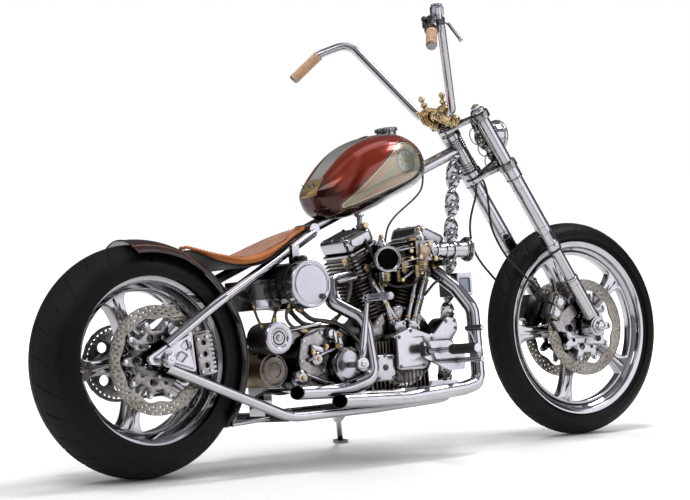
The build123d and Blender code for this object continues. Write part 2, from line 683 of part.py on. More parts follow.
def exhaust(route, bends, keep_out):
    pipe = tube(route, bends, EXHAUST_R)
    path = FilletPolyline(*route, radius=bends)
    end = Plane(origin=path @ 1, z_dir=path % 1)
    pipe -= end * Pos(0, 0, -40) * Cylinder(EXHAUST_R - EXHAUST_WALL, 100)
    slash = Plane(origin=end.origin + Vector(0, EXHAUST_R, 0), z_dir=end.z_dir - Vector(0, SLASH, 0))
    pipe -= slash * Pos(0, 0, 50) * Box(200, 200, 100)
    for piece in keep_out:
        pipe -= piece
    return pipe.solids().sort_by(SortBy.VOLUME)[-1]


nodes["front_exhaust"] = exhaust(FRONT_EXHAUST, FRONT_BENDS, heads)
nodes["rear_exhaust"] = exhaust(REAR_EXHAUST, REAR_BENDS, heads)

# Oil tank, electrics box, starter and regulator

oil_tank = across(OIL_X, OIL_Z, OIL_RIGHT, OIL_LEFT, OIL_R)
oil_tank += box_between((OIL_X - 12, OIL_X + 12), (-84, -62), (OIL_Z + OIL_R - 12, OIL_Z + OIL_R + 50)) - stay
oil_tank = fillet(oil_tank.faces().sort_by(Axis.Y)[0].edges(), 5)
nodes["oil_tank"] = oil_tank
electrics_low = OIL_Z - OIL_R + 2
electrics_rear = math.sqrt(FENDER_R ** 2 - (electrics_low - rear_z) ** 2) + FENDER_CLEAR
electrics = box_between((electrics_rear, OIL_X - OIL_R - SEAT_GAP), (-66, 66), (electrics_low, OIL_Z + 22))
nodes["electrics_box"] = electrics
starter = across(STARTER_X, STARTER_Z, -134, -40, 46) + across(STARTER_X, STARTER_Z, -140, -134, 33)
starter += box_between((STARTER_X, GEARBOX_X), (-96, -50), (STARTER_Z - 20, STARTER_Z + 16))
nodes["starter"] = starter - nodes["gearbox"]
filter_can = across(FILTER_X, FILTER_Z, -96, 96, 46) + box_between((FILTER_X, GEARBOX_X), (-40, 40), (262, 292))
nodes["oil_filter"] = filter_can - nodes["gearbox"] - nodes["drive_chain"]
nodes["regulator"] = box_between((1092, 1150), (-94, -8), (464, 534)) - nodes["down_tube"]

# Engine and gearbox feet on the crossmembers and the down tube's foot

mount_front = box_between((CRANK_X + 80, FOOT_X - FOOT_SIZE[0] / 2), (-30, 30), (SUMP_Z - 12, SUMP_Z + 14)) - case
mount_middle = box_between((700, 770), (-50, 50), (RAIL_Z + 2, SUMP_Z + 20)) - case - nodes["gearbox"]
mount_rear = box_between((392, 420), (-40, 40), (RAIL_Z, 300)) + box_between((404, 520), (-40, 40), (215, 240))
mount_rear = mount_rear - nodes["gearbox"] - nodes["oil_filter"]
mounts = [m - nodes["crossmembers"] - nodes["primary_case"] - nodes["oil_pump"] for m in
          (mount_front, mount_middle, mount_rear)]
nodes["engine_mounts"] = Compound(children=mounts)
fender_end = math.radians(FENDER_TO)
strut_end = ((FENDER_R - 16) * math.sin(fender_end), 60, rear_z + (FENDER_R - 16) * math.cos(fender_end))
strut = rod((CROSS[0][0], 60, CROSS[0][1]), strut_end, 7) - nodes["crossmembers"]
nodes["fender_struts"] = pair(strut - fender)

# Brake calipers, slotted over their discs

def caliper(frame, y, y_from, y_to, angle, reach, size):
    block = Pos(reach, 0, (y_from + y_to) / 2) * Box(size[0], size[1], y_to - y_from)
    block = frame * Rot(0, 0, angle) * block
    slot = ring(frame, DISC_R + 3, 1, y - DISC_THICK / 2 - 2, y + DISC_THICK / 2 + 2)
    return block - slot


caliper_foot = box_between((40, 100), (-plate_in, CALIPER_FOOT - plate_in), (rear_z - 16, rear_z + 36))
nodes["rear_caliper"] = caliper(rear_wheel_frame, REAR_DISC_Y, -plate_in, -93, -6, 124, (66, 118)) + caliper_foot - tube(
    rail_path, [180, 300, 90], TUBE_R + SIDE_GAP)
front_calipers = []
for side in fronts:
    near = min(side * 42, side * 78)
    far = max(side * 42, side * 78)
    block = caliper(front_wheel_frame, side * FRONT_DISC_Y, near, far, 208, 146, (50, 84))
    arm_near = min(side * 66, side * 78)
    arm_far = max(side * 66, side * 78)
    arm = fork * box_between((-68, 58), (arm_near, arm_far), (axle_drop + 60, axle_drop + 100))
    front_calipers.append(block + arm)

# Foot controls


def foot_set(face, side):
    # Bracket plate on a cover's face, the footrest, and the pedal ahead of it
    plate_face = face + side * 12
    bracket = side_outline(FOOT_BRACKET, max(face, plate_face), min(face, plate_face), 9)
    bracket += across(PEG_X, PEG_Z, plate_face, side * PEG_IN, 8)
    bracket += across(PEG_X, PEG_Z, side * PEG_IN, side * PEG_OUT, PEG_R)
    arm_y = side * (PEDAL_IN + 8)
    bracket += across(PEDAL_PIVOT[0], PEDAL_PIVOT[1], plate_face, side * (PEDAL_IN + 17), 8)
    bracket += rod((PEDAL_PIVOT[0], arm_y, PEDAL_PIVOT[1]), (PEDAL_X, arm_y, PEDAL_Z), 6)
    bracket += across(PEDAL_X, PEDAL_Z, side * PEDAL_IN, side * PEG_OUT, 7)
    return bracket


nodes["foot_controls"] = Compound(children=[foot_set(COVER_FACE, -1), foot_set(PRIMARY_LEFT, 1)])

# Fork, trees and what turns with them

def leg_at(low, high, radius):
    return fork * Pos(FORK_AHEAD, -FORK_HALF, (low + high) / 2) * Cylinder(radius, high - low)


upper_leg = leg_at(TUBE_STEP, FORK_TOP, UPPER_TUBE_R) + leg_at(SLIDER_TOP, TUBE_STEP, LOWER_TUBE_R)
upper_leg += leg_at(TUBE_STEP - 16, TUBE_STEP + 16, LOWER_TUBE_R + 3) + leg_at(FORK_TOP, FORK_TOP + 10, 15)
upper_leg -= leg_at(SLIDER_TOP - 5, SLIDER_TOP + 60, SLIDER_R)
nodes["fork_tubes"] = pair(upper_leg)
slider = leg_at(CAST_TOP, SLIDER_TOP + 60, SLIDER_R) + leg_at(axle_drop + 12, CAST_TOP, CAST_R)
axle_lug = ring(front_wheel_frame, FORK_LUG_R, FRONT_AXLE_R, -FORK_HALF - FORK_LUG_HALF, -FORK_HALF + FORK_LUG_HALF)
nodes["fork_sliders"] = pair(slider + axle_lug - front_wheel_frame * Cylinder(FRONT_AXLE_R, 400))
axle_in = FORK_HALF - FORK_LUG_HALF
spacer_in = FRONT_DISC_Y + DISC_THICK / 2 + SIDE_GAP
nodes["front_axle"] = axle(front_wheel_frame, FRONT_AXLE_R, 17, [(-axle_in, -spacer_in), (spacer_in, axle_in)],
                           FORK_HALF + FORK_LUG_HALF, FORK_AXLE_CAP)
nodes["front_calipers"] = Compound(children=[
    block - nodes["fork_sliders"].solids()[0] - nodes["fork_sliders"].solids()[1] for block in front_calipers])

upper_low = NECK_TOP + TREE_GAP
lower_high = NECK_BOTTOM - TREE_GAP


def tree(low, high, leg_r):
    plate = fork * box_between((-30, FORK_AHEAD), (-FORK_HALF, FORK_HALF), (low, high))
    plate += fork * Pos(FORK_AHEAD, FORK_HALF, (low + high) / 2) * Cylinder(leg_r + 9, high - low)
    plate += fork * Pos(FORK_AHEAD, -FORK_HALF, (low + high) / 2) * Cylinder(leg_r + 9, high - low)
    plate -= fork * Pos(-62, 112, (low + high) / 2) * Rot(0, 0, 40) * Box(90, 160, 60)
    plate -= fork * Pos(-62, -112, (low + high) / 2) * Rot(0, 0, -40) * Box(90, 160, 60)
    return plate


lower_tree = tree(lower_high - TREE_THICK, lower_high, UPPER_TUBE_R)
stem = fork * Pos(0, 0, (lower_high - TREE_THICK + upper_low + TREE_THICK) / 2) * Cylinder(
    STEM_R, upper_low + TREE_THICK - lower_high + TREE_THICK)
lower_tree = lower_tree + stem - upper_leg - mirrored(upper_leg)
upper_tree = tree(upper_low, upper_low + TREE_THICK, UPPER_TUBE_R) - upper_leg - mirrored(upper_leg) - stem
nodes["lower_tree"] = lower_tree
nodes["upper_tree"] = upper_tree

bar_path = [(x, y, z) for x, y, z in BAR] + [(x, -y, z) for x, y, z in BAR[::-1]]
bar = tube(bar_path, BAR_BENDS + BAR_BENDS[::-1], BAR_R)
nodes["handlebar"] = bar
grip_in = Vector(*BAR[1]) + (Vector(*BAR[0]) - Vector(*BAR[1])) * GRIP_SHARE
grip_dir = (Vector(*BAR[0]) - Vector(*BAR[1])).normalized()
grip_len = (Vector(*BAR[0]) - grip_in).length + 3
grip = Plane(origin=grip_in, z_dir=grip_dir) * Pos(0, 0, grip_len / 2) * Cylinder(GRIP_R, grip_len)
nodes["grips"] = pair(grip - bar)

riser_base = at(fork, RISER_AHEAD, -RISER_HALF, upper_low + TREE_THICK)
riser = rod(riser_base, (BAR[3][0], -RISER_HALF, BAR[3][2]), 15)
riser += across(BAR[3][0], BAR[3][2], -RISER_HALF - 14, -RISER_HALF + 14, 25)
riser -= bar
riser -= upper_tree
nodes["risers"] = pair(riser)

clamp_at = grip_in - grip_dir * 18
clamp_at = Vector(clamp_at.X, -clamp_at.Y, clamp_at.Z)
clamp_dir = Vector(grip_dir.X, -grip_dir.Y, grip_dir.Z)
clamp = Plane(origin=clamp_at, z_dir=clamp_dir) * Cylinder(21, 24)
ahead = clamp_at + Vector(36, 0, 6)
clamp += rod(clamp_at, ahead, 9) - bar
clamp += rod(ahead + Vector(-14, 0, 4), ahead + Vector(-14, 0, 38), 16)
lever = rod(ahead, ahead + Vector(26, 0, -6), 5)
lever += rod(ahead + Vector(26, 0, -6), ahead + Vector(10, -72, -66), 5)
nodes["brake_lever"] = clamp + lever - bar - nodes["grips"]

lamp_at = Vector(*LAMP)
lamp = Plane(origin=lamp_at, z_dir=(1, 0, 0)) * Cylinder(LAMP_R, LAMP_LONG)
lamp = fillet(lamp.faces().sort_by(Axis.X)[0].edges(), 30)
lamp_stay = rod(at(fork, 30, 0, lower_high - 14), at(fork, 108, 0, lower_high - 14), 11)
lamp_stay += rod(at(fork, 108, 0, lower_high - 22), lamp_at, 11)
nodes["headlamp"] = lamp + lamp_stay - lower_tree

# Brake hoses from the lower tree to the calipers, and the throttle cable from the backbone to the carburettors

def hose(points, radius):
    return tube(points, [HOSE_BEND] * (len(points) - 2), radius)


hose_top = (at(fork, HOSE_START[0], HOSE_START[1], lower_high - TREE_THICK + HOSE_SUNK),
            at(fork, HOSE_START[0], HOSE_START[1], lower_high - TREE_THICK - HOSE_BEND))
nodes["brake_hose_right"] = hose([(p.X, -p.Y, p.Z) for p in hose_top] + list(HOSE_RIGHT), HOSE_R) - nodes[
    "front_calipers"].solids().sort_by(Axis.Y)[0] - lower_tree
nodes["brake_hose_left"] = hose([tuple(p) for p in hose_top] + list(HOSE_LEFT), HOSE_R) - nodes[
    "front_calipers"].solids().sort_by(Axis.Y)[-1] - lower_tree
nodes["throttle_cable"] = hose(CABLE, CABLE_R) - backbone - nodes["carburettors"]

# Lean over on the stand, then put the box's bottom centre at the origin

leaned = {name: Rot(-LEAN, 0, 0) * shape for name, shape in nodes.items()}
boxes = [shape.bounding_box() for shape in leaned.values()]
low = [min(tuple(box.min)[k] for box in boxes) for k in range(3)]
high = [max(tuple(box.max)[k] for box in boxes) for k in range(3)]
move = Vector(-(low[0] + high[0]) / 2, -(low[1] + high[1]) / 2, -low[2])
shift = Pos(*move)
print("move", move, "size", [round(b - a, 1) for a, b in zip(low, high)])
os.makedirs("parts", exist_ok=True)
for name, shape in leaned.items():
    export_step(shift * shape, f"parts/{name}.step")
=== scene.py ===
import bpy
import bmesh
import json
from math import acos, asin, atan2, cos, degrees, hypot, pi, radians, sin, sqrt
from mathutils import Matrix, Vector


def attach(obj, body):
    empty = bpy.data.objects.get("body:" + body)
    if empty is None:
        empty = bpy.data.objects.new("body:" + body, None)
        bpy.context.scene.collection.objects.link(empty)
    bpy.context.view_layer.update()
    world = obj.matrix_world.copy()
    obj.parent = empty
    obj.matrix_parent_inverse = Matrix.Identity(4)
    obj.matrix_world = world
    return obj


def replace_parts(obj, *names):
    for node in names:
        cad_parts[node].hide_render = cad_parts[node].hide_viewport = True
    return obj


# Chopper motorcycle on its side stand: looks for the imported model
# Places below are written in the upright bike's millimetres, x ahead of the rear axle, y left, z up

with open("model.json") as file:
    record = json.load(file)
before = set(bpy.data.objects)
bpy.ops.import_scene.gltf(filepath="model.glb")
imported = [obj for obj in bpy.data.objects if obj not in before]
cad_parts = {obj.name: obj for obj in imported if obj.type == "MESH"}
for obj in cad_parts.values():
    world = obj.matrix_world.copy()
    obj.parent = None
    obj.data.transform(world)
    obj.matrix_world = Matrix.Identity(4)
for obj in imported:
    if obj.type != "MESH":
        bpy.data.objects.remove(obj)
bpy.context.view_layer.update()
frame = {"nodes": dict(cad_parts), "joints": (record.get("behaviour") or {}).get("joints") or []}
joints = {joint["name"]: joint for joint in frame["joints"]}
wheelAxis = Vector(joints["rear_wheel"]["axis"])
lean = atan2(-wheelAxis.z, wheelAxis.y)
rearAxle = 330.73  # height of the rear axle when upright
crankX, crankZ = 880, 322  # the crankshaft, ahead and up
frontAxle = Vector((1635, 0, 341.86))
bikeToRow = Matrix.Rotation(-lean, 4, "X") @ Matrix.Scale(0.001, 4)
wheelSpot = Vector(joints["rear_wheel"]["pos_m"])
bikeToRow = Matrix.Translation(wheelSpot - bikeToRow @ Vector((0, 0, rearAxle))) @ bikeToRow
studio = bikeToRow.translation.copy()  # where the rear tyre would meet the floor
print("frame loaded, lean", round(degrees(lean), 2))


def newObject(name, data):
    piece = bpy.data.objects.new(name, data)
    bpy.context.scene.collection.objects.link(piece)
    return piece


def finishedMesh(piece):  # with its modifiers or its bevel worked in
    graph = bpy.context.evaluated_depsgraph_get()
    return bpy.data.meshes.new_from_object(piece.evaluated_get(graph))


def spread(count):  # even angles round a circle
    return [2 * pi * k / count for k in range(count)]


def polar(radius, angle, x=0, y=0):
    return x + radius * cos(angle), y + radius * sin(angle)


def setInputs(node, values):
    for label, value in values.items():
        node.inputs[label].default_value = value


# Shader tools

class Field:  # a number or colour that varies over a surface

    def __init__(self, tree, socket):
        self.tree = tree
        self.socket = socket

    def math(self, operation, *others, clamp=False):
        node = self.tree.nodes.new("ShaderNodeMath")
        node.operation = operation
        node.use_clamp = clamp
        for slot, value in enumerate((self,) + others):
            if isinstance(value, Field):
                self.tree.links.new(value.socket, node.inputs[slot])
            else:
                node.inputs[slot].default_value = value
        return Field(self.tree, node.outputs[0])

    def __add__(self, other):
        return self.math("ADD", other)

    def __sub__(self, other):
        return self.math("SUBTRACT", other)

    def __mul__(self, other):
        return self.math("MULTIPLY", other)

    def most(self, other):
        return self.math("MAXIMUM", other)

    def size(self):
        return self.math("ABSOLUTE")

    def sine(self):
        return self.math("SINE")

    def clamped(self):
        return self.math("ADD", 0.0, clamp=True)

    def below(self, edge, soft):
        # 1 under the edge and 0 past it
        node = self.tree.nodes.new("ShaderNodeMapRange")
        node.interpolation_type = "SMOOTHSTEP"
        self.tree.links.new(self.socket, node.inputs["Value"])
        setInputs(node, {"From Min": edge - soft, "From Max": edge + soft, "To Min": 1.0, "To Max": 0.0})
        return Field(self.tree, node.outputs["Result"])

    def above(self, edge, soft):
        return (self * -1.0).below(-edge, soft)

    def band(self, middle, half, soft):
        return (self - middle).size().below(half, soft)


def radiusOf(a, b):
    return (a * a + b * b).math("SQRT")


def tint(field, low, high):
    node = field.tree.nodes.new("ShaderNodeMix")
    node.data_type = "RGBA"
    field.tree.links.new(field.socket, node.inputs["Factor"])
    for socket, value in (("A", low), ("B", high)):
        place = [s for s in node.inputs if s.name == socket and s.type == "RGBA"][0]
        if isinstance(value, Field):
            field.tree.links.new(value.socket, place)
        else:
            place.default_value = (*value, 1.0)
    return Field(field.tree, [s for s in node.outputs if s.type == "RGBA"][0])


def nodeGroup(name, inputs, outputs, build):
    tree = bpy.data.node_groups.new(name, "ShaderNodeTree")
    for label, kind, value in inputs:
        socket = tree.interface.new_socket(label, in_out="INPUT", socket_type=kind)
        socket.default_value = value
    for label, kind in outputs:
        tree.interface.new_socket(label, in_out="OUTPUT", socket_type=kind)
    first = tree.nodes.new("NodeGroupInput")
    last = tree.nodes.new("NodeGroupOutput")
    results = build(tree, {s.name: Field(tree, s) for s in first.outputs if s.name})
    for label, field in results.items():
        tree.links.new(field.socket, last.inputs[label])
    return tree


def noise(tree, vector, scale, detail=3.0, rough=0.55):
    node = tree.nodes.new("ShaderNodeTexNoise")
    setInputs(node, {"Detail": detail, "Roughness": rough})
    tree.links.new(vector.socket, node.inputs["Vector"])
    if isinstance(scale, Field):
        tree.links.new(scale.socket, node.inputs["Scale"])
    else:
        node.inputs["Scale"].default_value = scale
    return Field(tree, node.outputs["Fac"])


def wearLook(tree, given):
    broad = noise(tree, given["Place"], given["Scale"])
    fine = noise(tree, given["Place"], given["Scale"] * 9.0, 2.0)
    mask = (broad * 0.7 + fine * 0.3 - 0.5) * given["Amount"] + 0.5
    return {"Mask": mask.clamped(), "Height": fine}


wearGroup = nodeGroup("handledWear", [("Place", "NodeSocketVector", (0, 0, 0)),
    ("Scale", "NodeSocketFloat", 8.0), ("Amount", "NodeSocketFloat", 1.0)],
    [("Mask", "NodeSocketFloat"), ("Height", "NodeSocketFloat")], wearLook)


finishes = {}


class Finish:  # one material, with the place on the object as a field

    def __init__(self, name, colour, metallic=0.0, roughness=0.4, coat=0.0, sheen=0.0):
        self.material = bpy.data.materials.new(name)
        self.material.use_nodes = True
        self.tree = self.material.node_tree
        self.shader = self.tree.nodes["Principled BSDF"]
        setInputs(self.shader, {"Base Color": (*colour, 1.0), "Metallic": metallic, "Roughness": roughness,
            "Coat Weight": coat, "Coat Roughness": 0.04, "Sheen Weight": sheen})
        self.place = Field(self.tree, self.tree.nodes.new("ShaderNodeTexCoord").outputs["Object"])
        self.heights = []
        finishes[name] = self

    def axes(self, matrix):
        # coordinates in a frame of the bike, in millimetres
        back = (bikeToRow @ matrix).inverted()
        split = self.tree.nodes.new("ShaderNodeSeparateXYZ")
        self.tree.links.new(self.place.socket, split.inputs[0])
        row = [Field(self.tree, split.outputs[k]) for k in range(3)]
        return [row[0] * back[k][0] + row[1] * back[k][1] + row[2] * back[k][2] + back[k][3]
            for k in range(3)]

    def wear(self, scale, amount):
        node = self.tree.nodes.new("ShaderNodeGroup")
        node.node_tree = wearGroup
        setInputs(node, {"Scale": scale, "Amount": amount})
        self.tree.links.new(self.place.socket, node.inputs["Place"])
        return Field(self.tree, node.outputs["Mask"]), Field(self.tree, node.outputs["Height"])

    def put(self, label, field):
        self.tree.links.new(field.socket, self.shader.inputs[label])
        return self

    def crevice(self, reach):
        node = self.tree.nodes.new("ShaderNodeAmbientOcclusion")
        node.samples = 8
        node.inputs["Distance"].default_value = reach
        return Field(self.tree, node.outputs["AO"])

    def rough(self, low, high, scale=14.0, amount=1.6):
        mask, _ = self.wear(scale, amount)
        return self.put("Roughness", mask * (high - low) + low)

    def bump(self, height, depth):
        node = self.tree.nodes.new("ShaderNodeBump")
        setInputs(node, {"Distance": depth, "Strength": 1.0})
        self.tree.links.new(height.socket, node.inputs["Height"])
        if self.heights:
            self.tree.links.new(self.heights[-1].outputs[0], node.inputs["Normal"])
        self.heights.append(node)
        self.tree.links.new(node.outputs[0], self.shader.inputs["Normal"])
        return self


def metalFinish(name, dull, bright, low, high, scale=9.0, amount=1.5, bumpDepth=0.0, creviceShade=0.0):
    finish = Finish(name, bright, metallic=1.0)
    mask, height = finish.wear(scale, amount)
    colour = tint(mask, dull, bright)
    # painted shade: where the AO node finds other surfaces close by, in crevices and between parts, the base
    # colour is darkened towards a shaded copy of the dull colour
    if creviceShade:
        free = (finish.crevice(0.09) * 1.9 - 0.75).clamped()
        colour = tint(free, tuple(value * creviceShade for value in dull), colour)
    finish.put("Base Color", colour)
    finish.put("Roughness", mask * (low - high) + high)
    if bumpDepth:
        finish.bump(height, bumpDepth)


# the last value given to some of these sets how dark their painted crevice shade is
metalFinish("chromePlate", (0.60, 0.58, 0.60), (0.87, 0.87, 0.92), 0.03, 0.09, creviceShade=0.22)
metalFinish("polishedAlloy", (0.60, 0.58, 0.59), (0.84, 0.84, 0.88), 0.06, 0.14, creviceShade=0.22)
metalFinish("castAlloy", (0.26, 0.225, 0.20), (0.66, 0.65, 0.66), 0.12, 0.26, scale=16.0, amount=2.4,
    bumpDepth=0.0002, creviceShade=0.14)
metalFinish("engineAlloy", (0.13, 0.095, 0.07), (0.72, 0.71, 0.72), 0.06, 0.20, scale=13.0, amount=4.2,
    creviceShade=0.12)
metalFinish("finIron", (0.030, 0.024, 0.020), (0.16, 0.13, 0.105), 0.28, 0.5, scale=20.0, bumpDepth=0.0003)
metalFinish("brassPolish", (0.80, 0.54, 0.24), (1.0, 0.86, 0.56), 0.16, 0.34, scale=30.0, creviceShade=0.45)
metalFinish("discSteel", (0.30, 0.245, 0.21), (0.50, 0.43, 0.38), 0.22, 0.38, scale=24.0)
metalFinish("chainSteel", (0.08, 0.075, 0.07), (0.36, 0.34, 0.32), 0.2, 0.45, scale=40.0)

Finish("glossBlack", (0.012, 0.012, 0.013), roughness=0.3, coat=1.0).rough(0.12, 0.3)
Finish("dullBlack", (0.018, 0.018, 0.019), roughness=0.6).rough(0.4, 0.65)


# Camera, light and floor

cameraSettings = {"from": (-3.225, -5.401, 0.976), "to": (0.694, 0.0, 0.6231), "lens": 117.27}


def setCamera(settings):
    camera = newObject("photoCamera", bpy.data.cameras.new("photoCamera"))
    camera.location = Vector(settings["from"]) + studio
    toward = Vector(settings["to"]) + studio - camera.location
    camera.rotation_euler = toward.to_track_quat("-Z", "Y").to_euler()
    camera.data.lens = settings["lens"]
    camera.data.sensor_width = 36
    bpy.context.scene.camera = camera


setCamera(cameraSettings)
bpy.context.scene.view_settings.view_transform = "Standard"

lightSettings = {
    # soft boxes above: middle, half sizes, brightness
    "ceiling": ((0.9, 0.2, 1.3, 0.7, 1.1), (3.1, -1.0, 0.8, 1.1, 8.0)),
    "sky": 0.36,  # even light from all round
    "floorShade": 0.82,  # the floor as other things see it
    "floorSeen": 1.22,  # the same for the eye, which takes it to white where it is lit
    "key": ((-2.6, -1.0, 4.6), 3.0, 64.0),  # place, width of the soft box, watts
    "top": ((1.2, 0.1, 5.2), 1.0, 90.0),
    "fill": ((3.2, -3.4, 2.6), 2.4, 26.0),
    "back": ((3.0, 3.2, 2.9), 1.6, 80.0),
    "wall": 0.20,  # grey that the metal sees all round
    "boxes": (  # lit and dark panels that only the metal sees: heading, half width, low, high, brightness
        (-54, 22, 0.3, 3.8, 1.1),
        (-88, 6, 0.0, 4.6, 0.02),
        (-110, 14, 1.2, 4.6, 0.62),
        (-160, 14, 0.0, 4.6, 0.02),
        (150, 20, 0.8, 4.6, 0.66),
        (112, 12, 0.0, 4.6, 0.02),
        (60, 24, 0.4, 4.6, 0.07),
        (8, 14, 0.0, 4.6, 0.02),
        (-22, 8, 0.0, 2.6, 0.04),
    ),
}


def setLight(settings):
    world = bpy.data.worlds.new("studioSky")
    bpy.context.scene.world = world
    world.use_nodes = True
    tree = world.node_tree
    back = tree.nodes["Background"]
    back.inputs["Color"].default_value = (1.0, 1.0, 1.0, 1.0)
    path = tree.nodes.new("ShaderNodeLightPath")
    seen = Field(tree, path.outputs["Is Camera Ray"]).most(Field(tree,
        path.outputs["Is Glossy Ray"])).most(Field(tree, path.outputs["Is Transmission Ray"]))
    strength = seen * (1.0 - settings["sky"]) + settings["sky"]
    tree.links.new(strength.socket, back.inputs["Strength"])
    middle = Vector((0, 0, 0.5))
    for label in ("key", "top", "fill", "back"):
        spot, width, power = settings[label]
        lamp = bpy.data.lights.new(label, "AREA")
        lamp.size = width
        lamp.energy = power
        box = newObject(label, lamp)
        box.location = spot
        box.visible_glossy = label == "key"
        box.rotation_euler = (middle - Vector(spot)).to_track_quat("-Z", "Y").to_euler()
    wall = Finish("studioWall", (0.0, 0.0, 0.0), roughness=1.0)
    x, y, z = (value * 0.001 for value in wall.axes(bikeToRow.inverted() @ Matrix.Scale(0.001, 4)))
    angle = y.math("ARCTAN2", x)
    level = z * 0.0 + settings["wall"]
    for heading, half, low, high, bright in settings["boxes"]:
        turn = (angle - radians(heading)).math("ADD", pi).math("FLOORED_MODULO", 2 * pi) - pi
        inside = turn.size().below(radians(half), 0.05) * z.band((low + high) / 2, (high - low) / 2, 0.12)
        level = level + (level * -1.0 + bright) * inside
    roof = z.above(4.58, 0.01)
    for px, py, halfX, halfY, bright in settings["ceiling"]:
        inside = x.band(px, halfX, 0.1) * y.band(py, halfY, 0.1) * roof
        level = level + (level * -1.0 + bright) * inside
    wall.shader.inputs["Emission Color"].default_value = (0.945, 0.935, 1.0, 1.0)
    wall.put("Emission Strength", level)
    reach, count, top = 5.2, 72, 4.6
    ring = [polar(reach, a) for a in spread(count)]
    verts = [(x, y, h) for x, y in ring for h in (0.02, top)]
    faces = [(2 * k, 2 * ((k + 1) % count), 2 * ((k + 1) % count) + 1, 2 * k + 1) for k in range(count)]
    faces.append(tuple(2 * k + 1 for k in range(count)))
    mesh = bpy.data.meshes.new("studioWall")
    mesh.from_pydata(verts, [], faces)
    mesh.materials.append(wall.material)
    sheet = newObject("studioWall", mesh)
    sheet.visible_camera = False
    sheet.visible_diffuse = False
    sheet.visible_shadow = False
    floorFinish = Finish("studioFloor", (0.80, 0.81, 0.84), roughness=0.9)
    floorFinish.rough(0.8, 0.95, scale=1.0)
    x, y, _ = floorFinish.axes(Matrix.Identity(4))
    far = radiusOf(x - 700.0, y) * -1.0
    path = floorFinish.tree.nodes.new("ShaderNodeLightPath")
    watched = Field(floorFinish.tree, path.outputs["Is Camera Ray"])
    floorFinish.put("Base Color", watched * (settings["floorSeen"] - settings["floorShade"])
        + settings["floorShade"])
    glow = watched * far.below(-2600.0, 1200.0) * 0.6
    floorFinish.shader.inputs["Emission Color"].default_value = (0.97, 0.98, 1.0, 1.0)
    floorFinish.put("Emission Strength", glow)
    mesh = bpy.data.meshes.new("studioFloor")
    reach = 30
    mesh.from_pydata([(-reach, -reach, 0), (reach, -reach, 0), (reach, reach, 0), (-reach, reach, 0)], [],
        [(0, 1, 2, 3)])
    mesh.materials.append(floorFinish.material)
    floor = newObject("studioFloor", mesh)


setLight(lightSettings)
print("studio set")


# Mesh tools

def shift(x, y, z):
    return Matrix.Translation((x, y, z))


def frameAt(origin, up=(0, 0, 1), ahead=(1, 0, 0)):
    z = Vector(up).normalized()
    x = Vector(ahead)
    x = (x - z * x.dot(z)).normalized()
    y = z.cross(x)
    turn = Matrix((x, y, z)).transposed().to_4x4()
    return Matrix.Translation(Vector(origin)) @ turn


def tiltedFrame(origin, angle):  # leaning back by the angle
    return frameAt(origin, (-sin(angle), 0, cos(angle)), (cos(angle), 0, sin(angle)))


def newPiece(name, mesh, finishName, body, smooth=True, slot=None):
    piece = newObject(name, mesh)
    if finishName:
        mesh.materials.clear()
        mesh.materials.append(finishes[finishName].material)
    for face in mesh.polygons:
        face.use_smooth = smooth
    if body:
        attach(piece, body)
    slot or finishName in slotFor
    return piece


def tidyMesh(name, verts, faces, matrix=Matrix.Identity(4), creaseAngle=32, merge=0.00002):
    # closed, facing out, its sharp edges kept sharp
    mesh = bpy.data.meshes.new(name)
    whole = bikeToRow @ matrix
    mesh.from_pydata([whole @ Vector(v) for v in verts], [], faces)
    work = bmesh.new()
    work.from_mesh(mesh)
    bmesh.ops.remove_doubles(work, verts=work.verts, dist=merge)
    bmesh.ops.recalc_face_normals(work, faces=work.faces)
    for edge in work.edges:
        edge.smooth = not (edge.is_manifold and edge.calc_face_angle(0) > radians(creaseAngle))
    work.to_mesh(mesh)
    work.free()
    return mesh


def latheShape(profile, steps=96, closed=False):
    # a profile of (radius, height) turned about z
    verts = [(*polar(r, angle), h) for angle in spread(steps) for r, h in profile]
    faces = []
    count = len(profile)
    for k in range(steps):
        a, b = k * count, ((k + 1) % steps) * count
        for j in range(count if closed else count - 1):
            m = (j + 1) % count
            faces.append((a + j, b + j, b + m, a + m))
    return verts, faces


def joinShapes(*shapes):
    verts, faces = [], []
    for points, loops in shapes:
        base = len(verts)
        verts += [tuple(p) for p in points]
        faces += [tuple(base + k for k in loop) for loop in loops]
    return verts, faces


def movedShape(shape, matrix):
    return [tuple(matrix @ Vector(p)) for p in shape[0]], shape[1]


def roundedProfile(points, radius=1.5, steps=3):
    result = [points[0]]
    for a, b, c in zip(points, points[1:], points[2:]):
        a, b, c = Vector(a), Vector(b), Vector(c)
        reach = min(radius, (a - b).length * 0.45, (c - b).length * 0.45)
        p, q = b + (a - b).normalized() * reach, b + (c - b).normalized() * reach
        for k in range(steps + 1):
            t = k / steps
            result.append(tuple(p * (1 - t) ** 2 + b * 2 * t * (1 - t) + q * t ** 2))
    result.append(points[-1])
    return result


def splineThrough(points, steps=8, closed=False):
    dots = [Vector(p) for p in points]
    count = len(dots)
    line = []
    for k in range(count if closed else count - 1):
        if closed:
            a, b, c, d = (dots[(k + j) % count] for j in (-1, 0, 1, 2))
        else:
            b, c = dots[k], dots[k + 1]
            a = dots[k - 1] if k else b * 2 - c
            d = dots[k + 2] if k + 2 < count else c * 2 - b
        for j in range(steps):
            t = j / steps
            line.append(0.5 * (2 * b + (c - a) * t + (2 * a - 5 * b + 4 * c - d) * t * t
                + (3 * b - a - 3 * c + d) * t ** 3))
    if not closed:
        line.append(dots[-1])
    return line


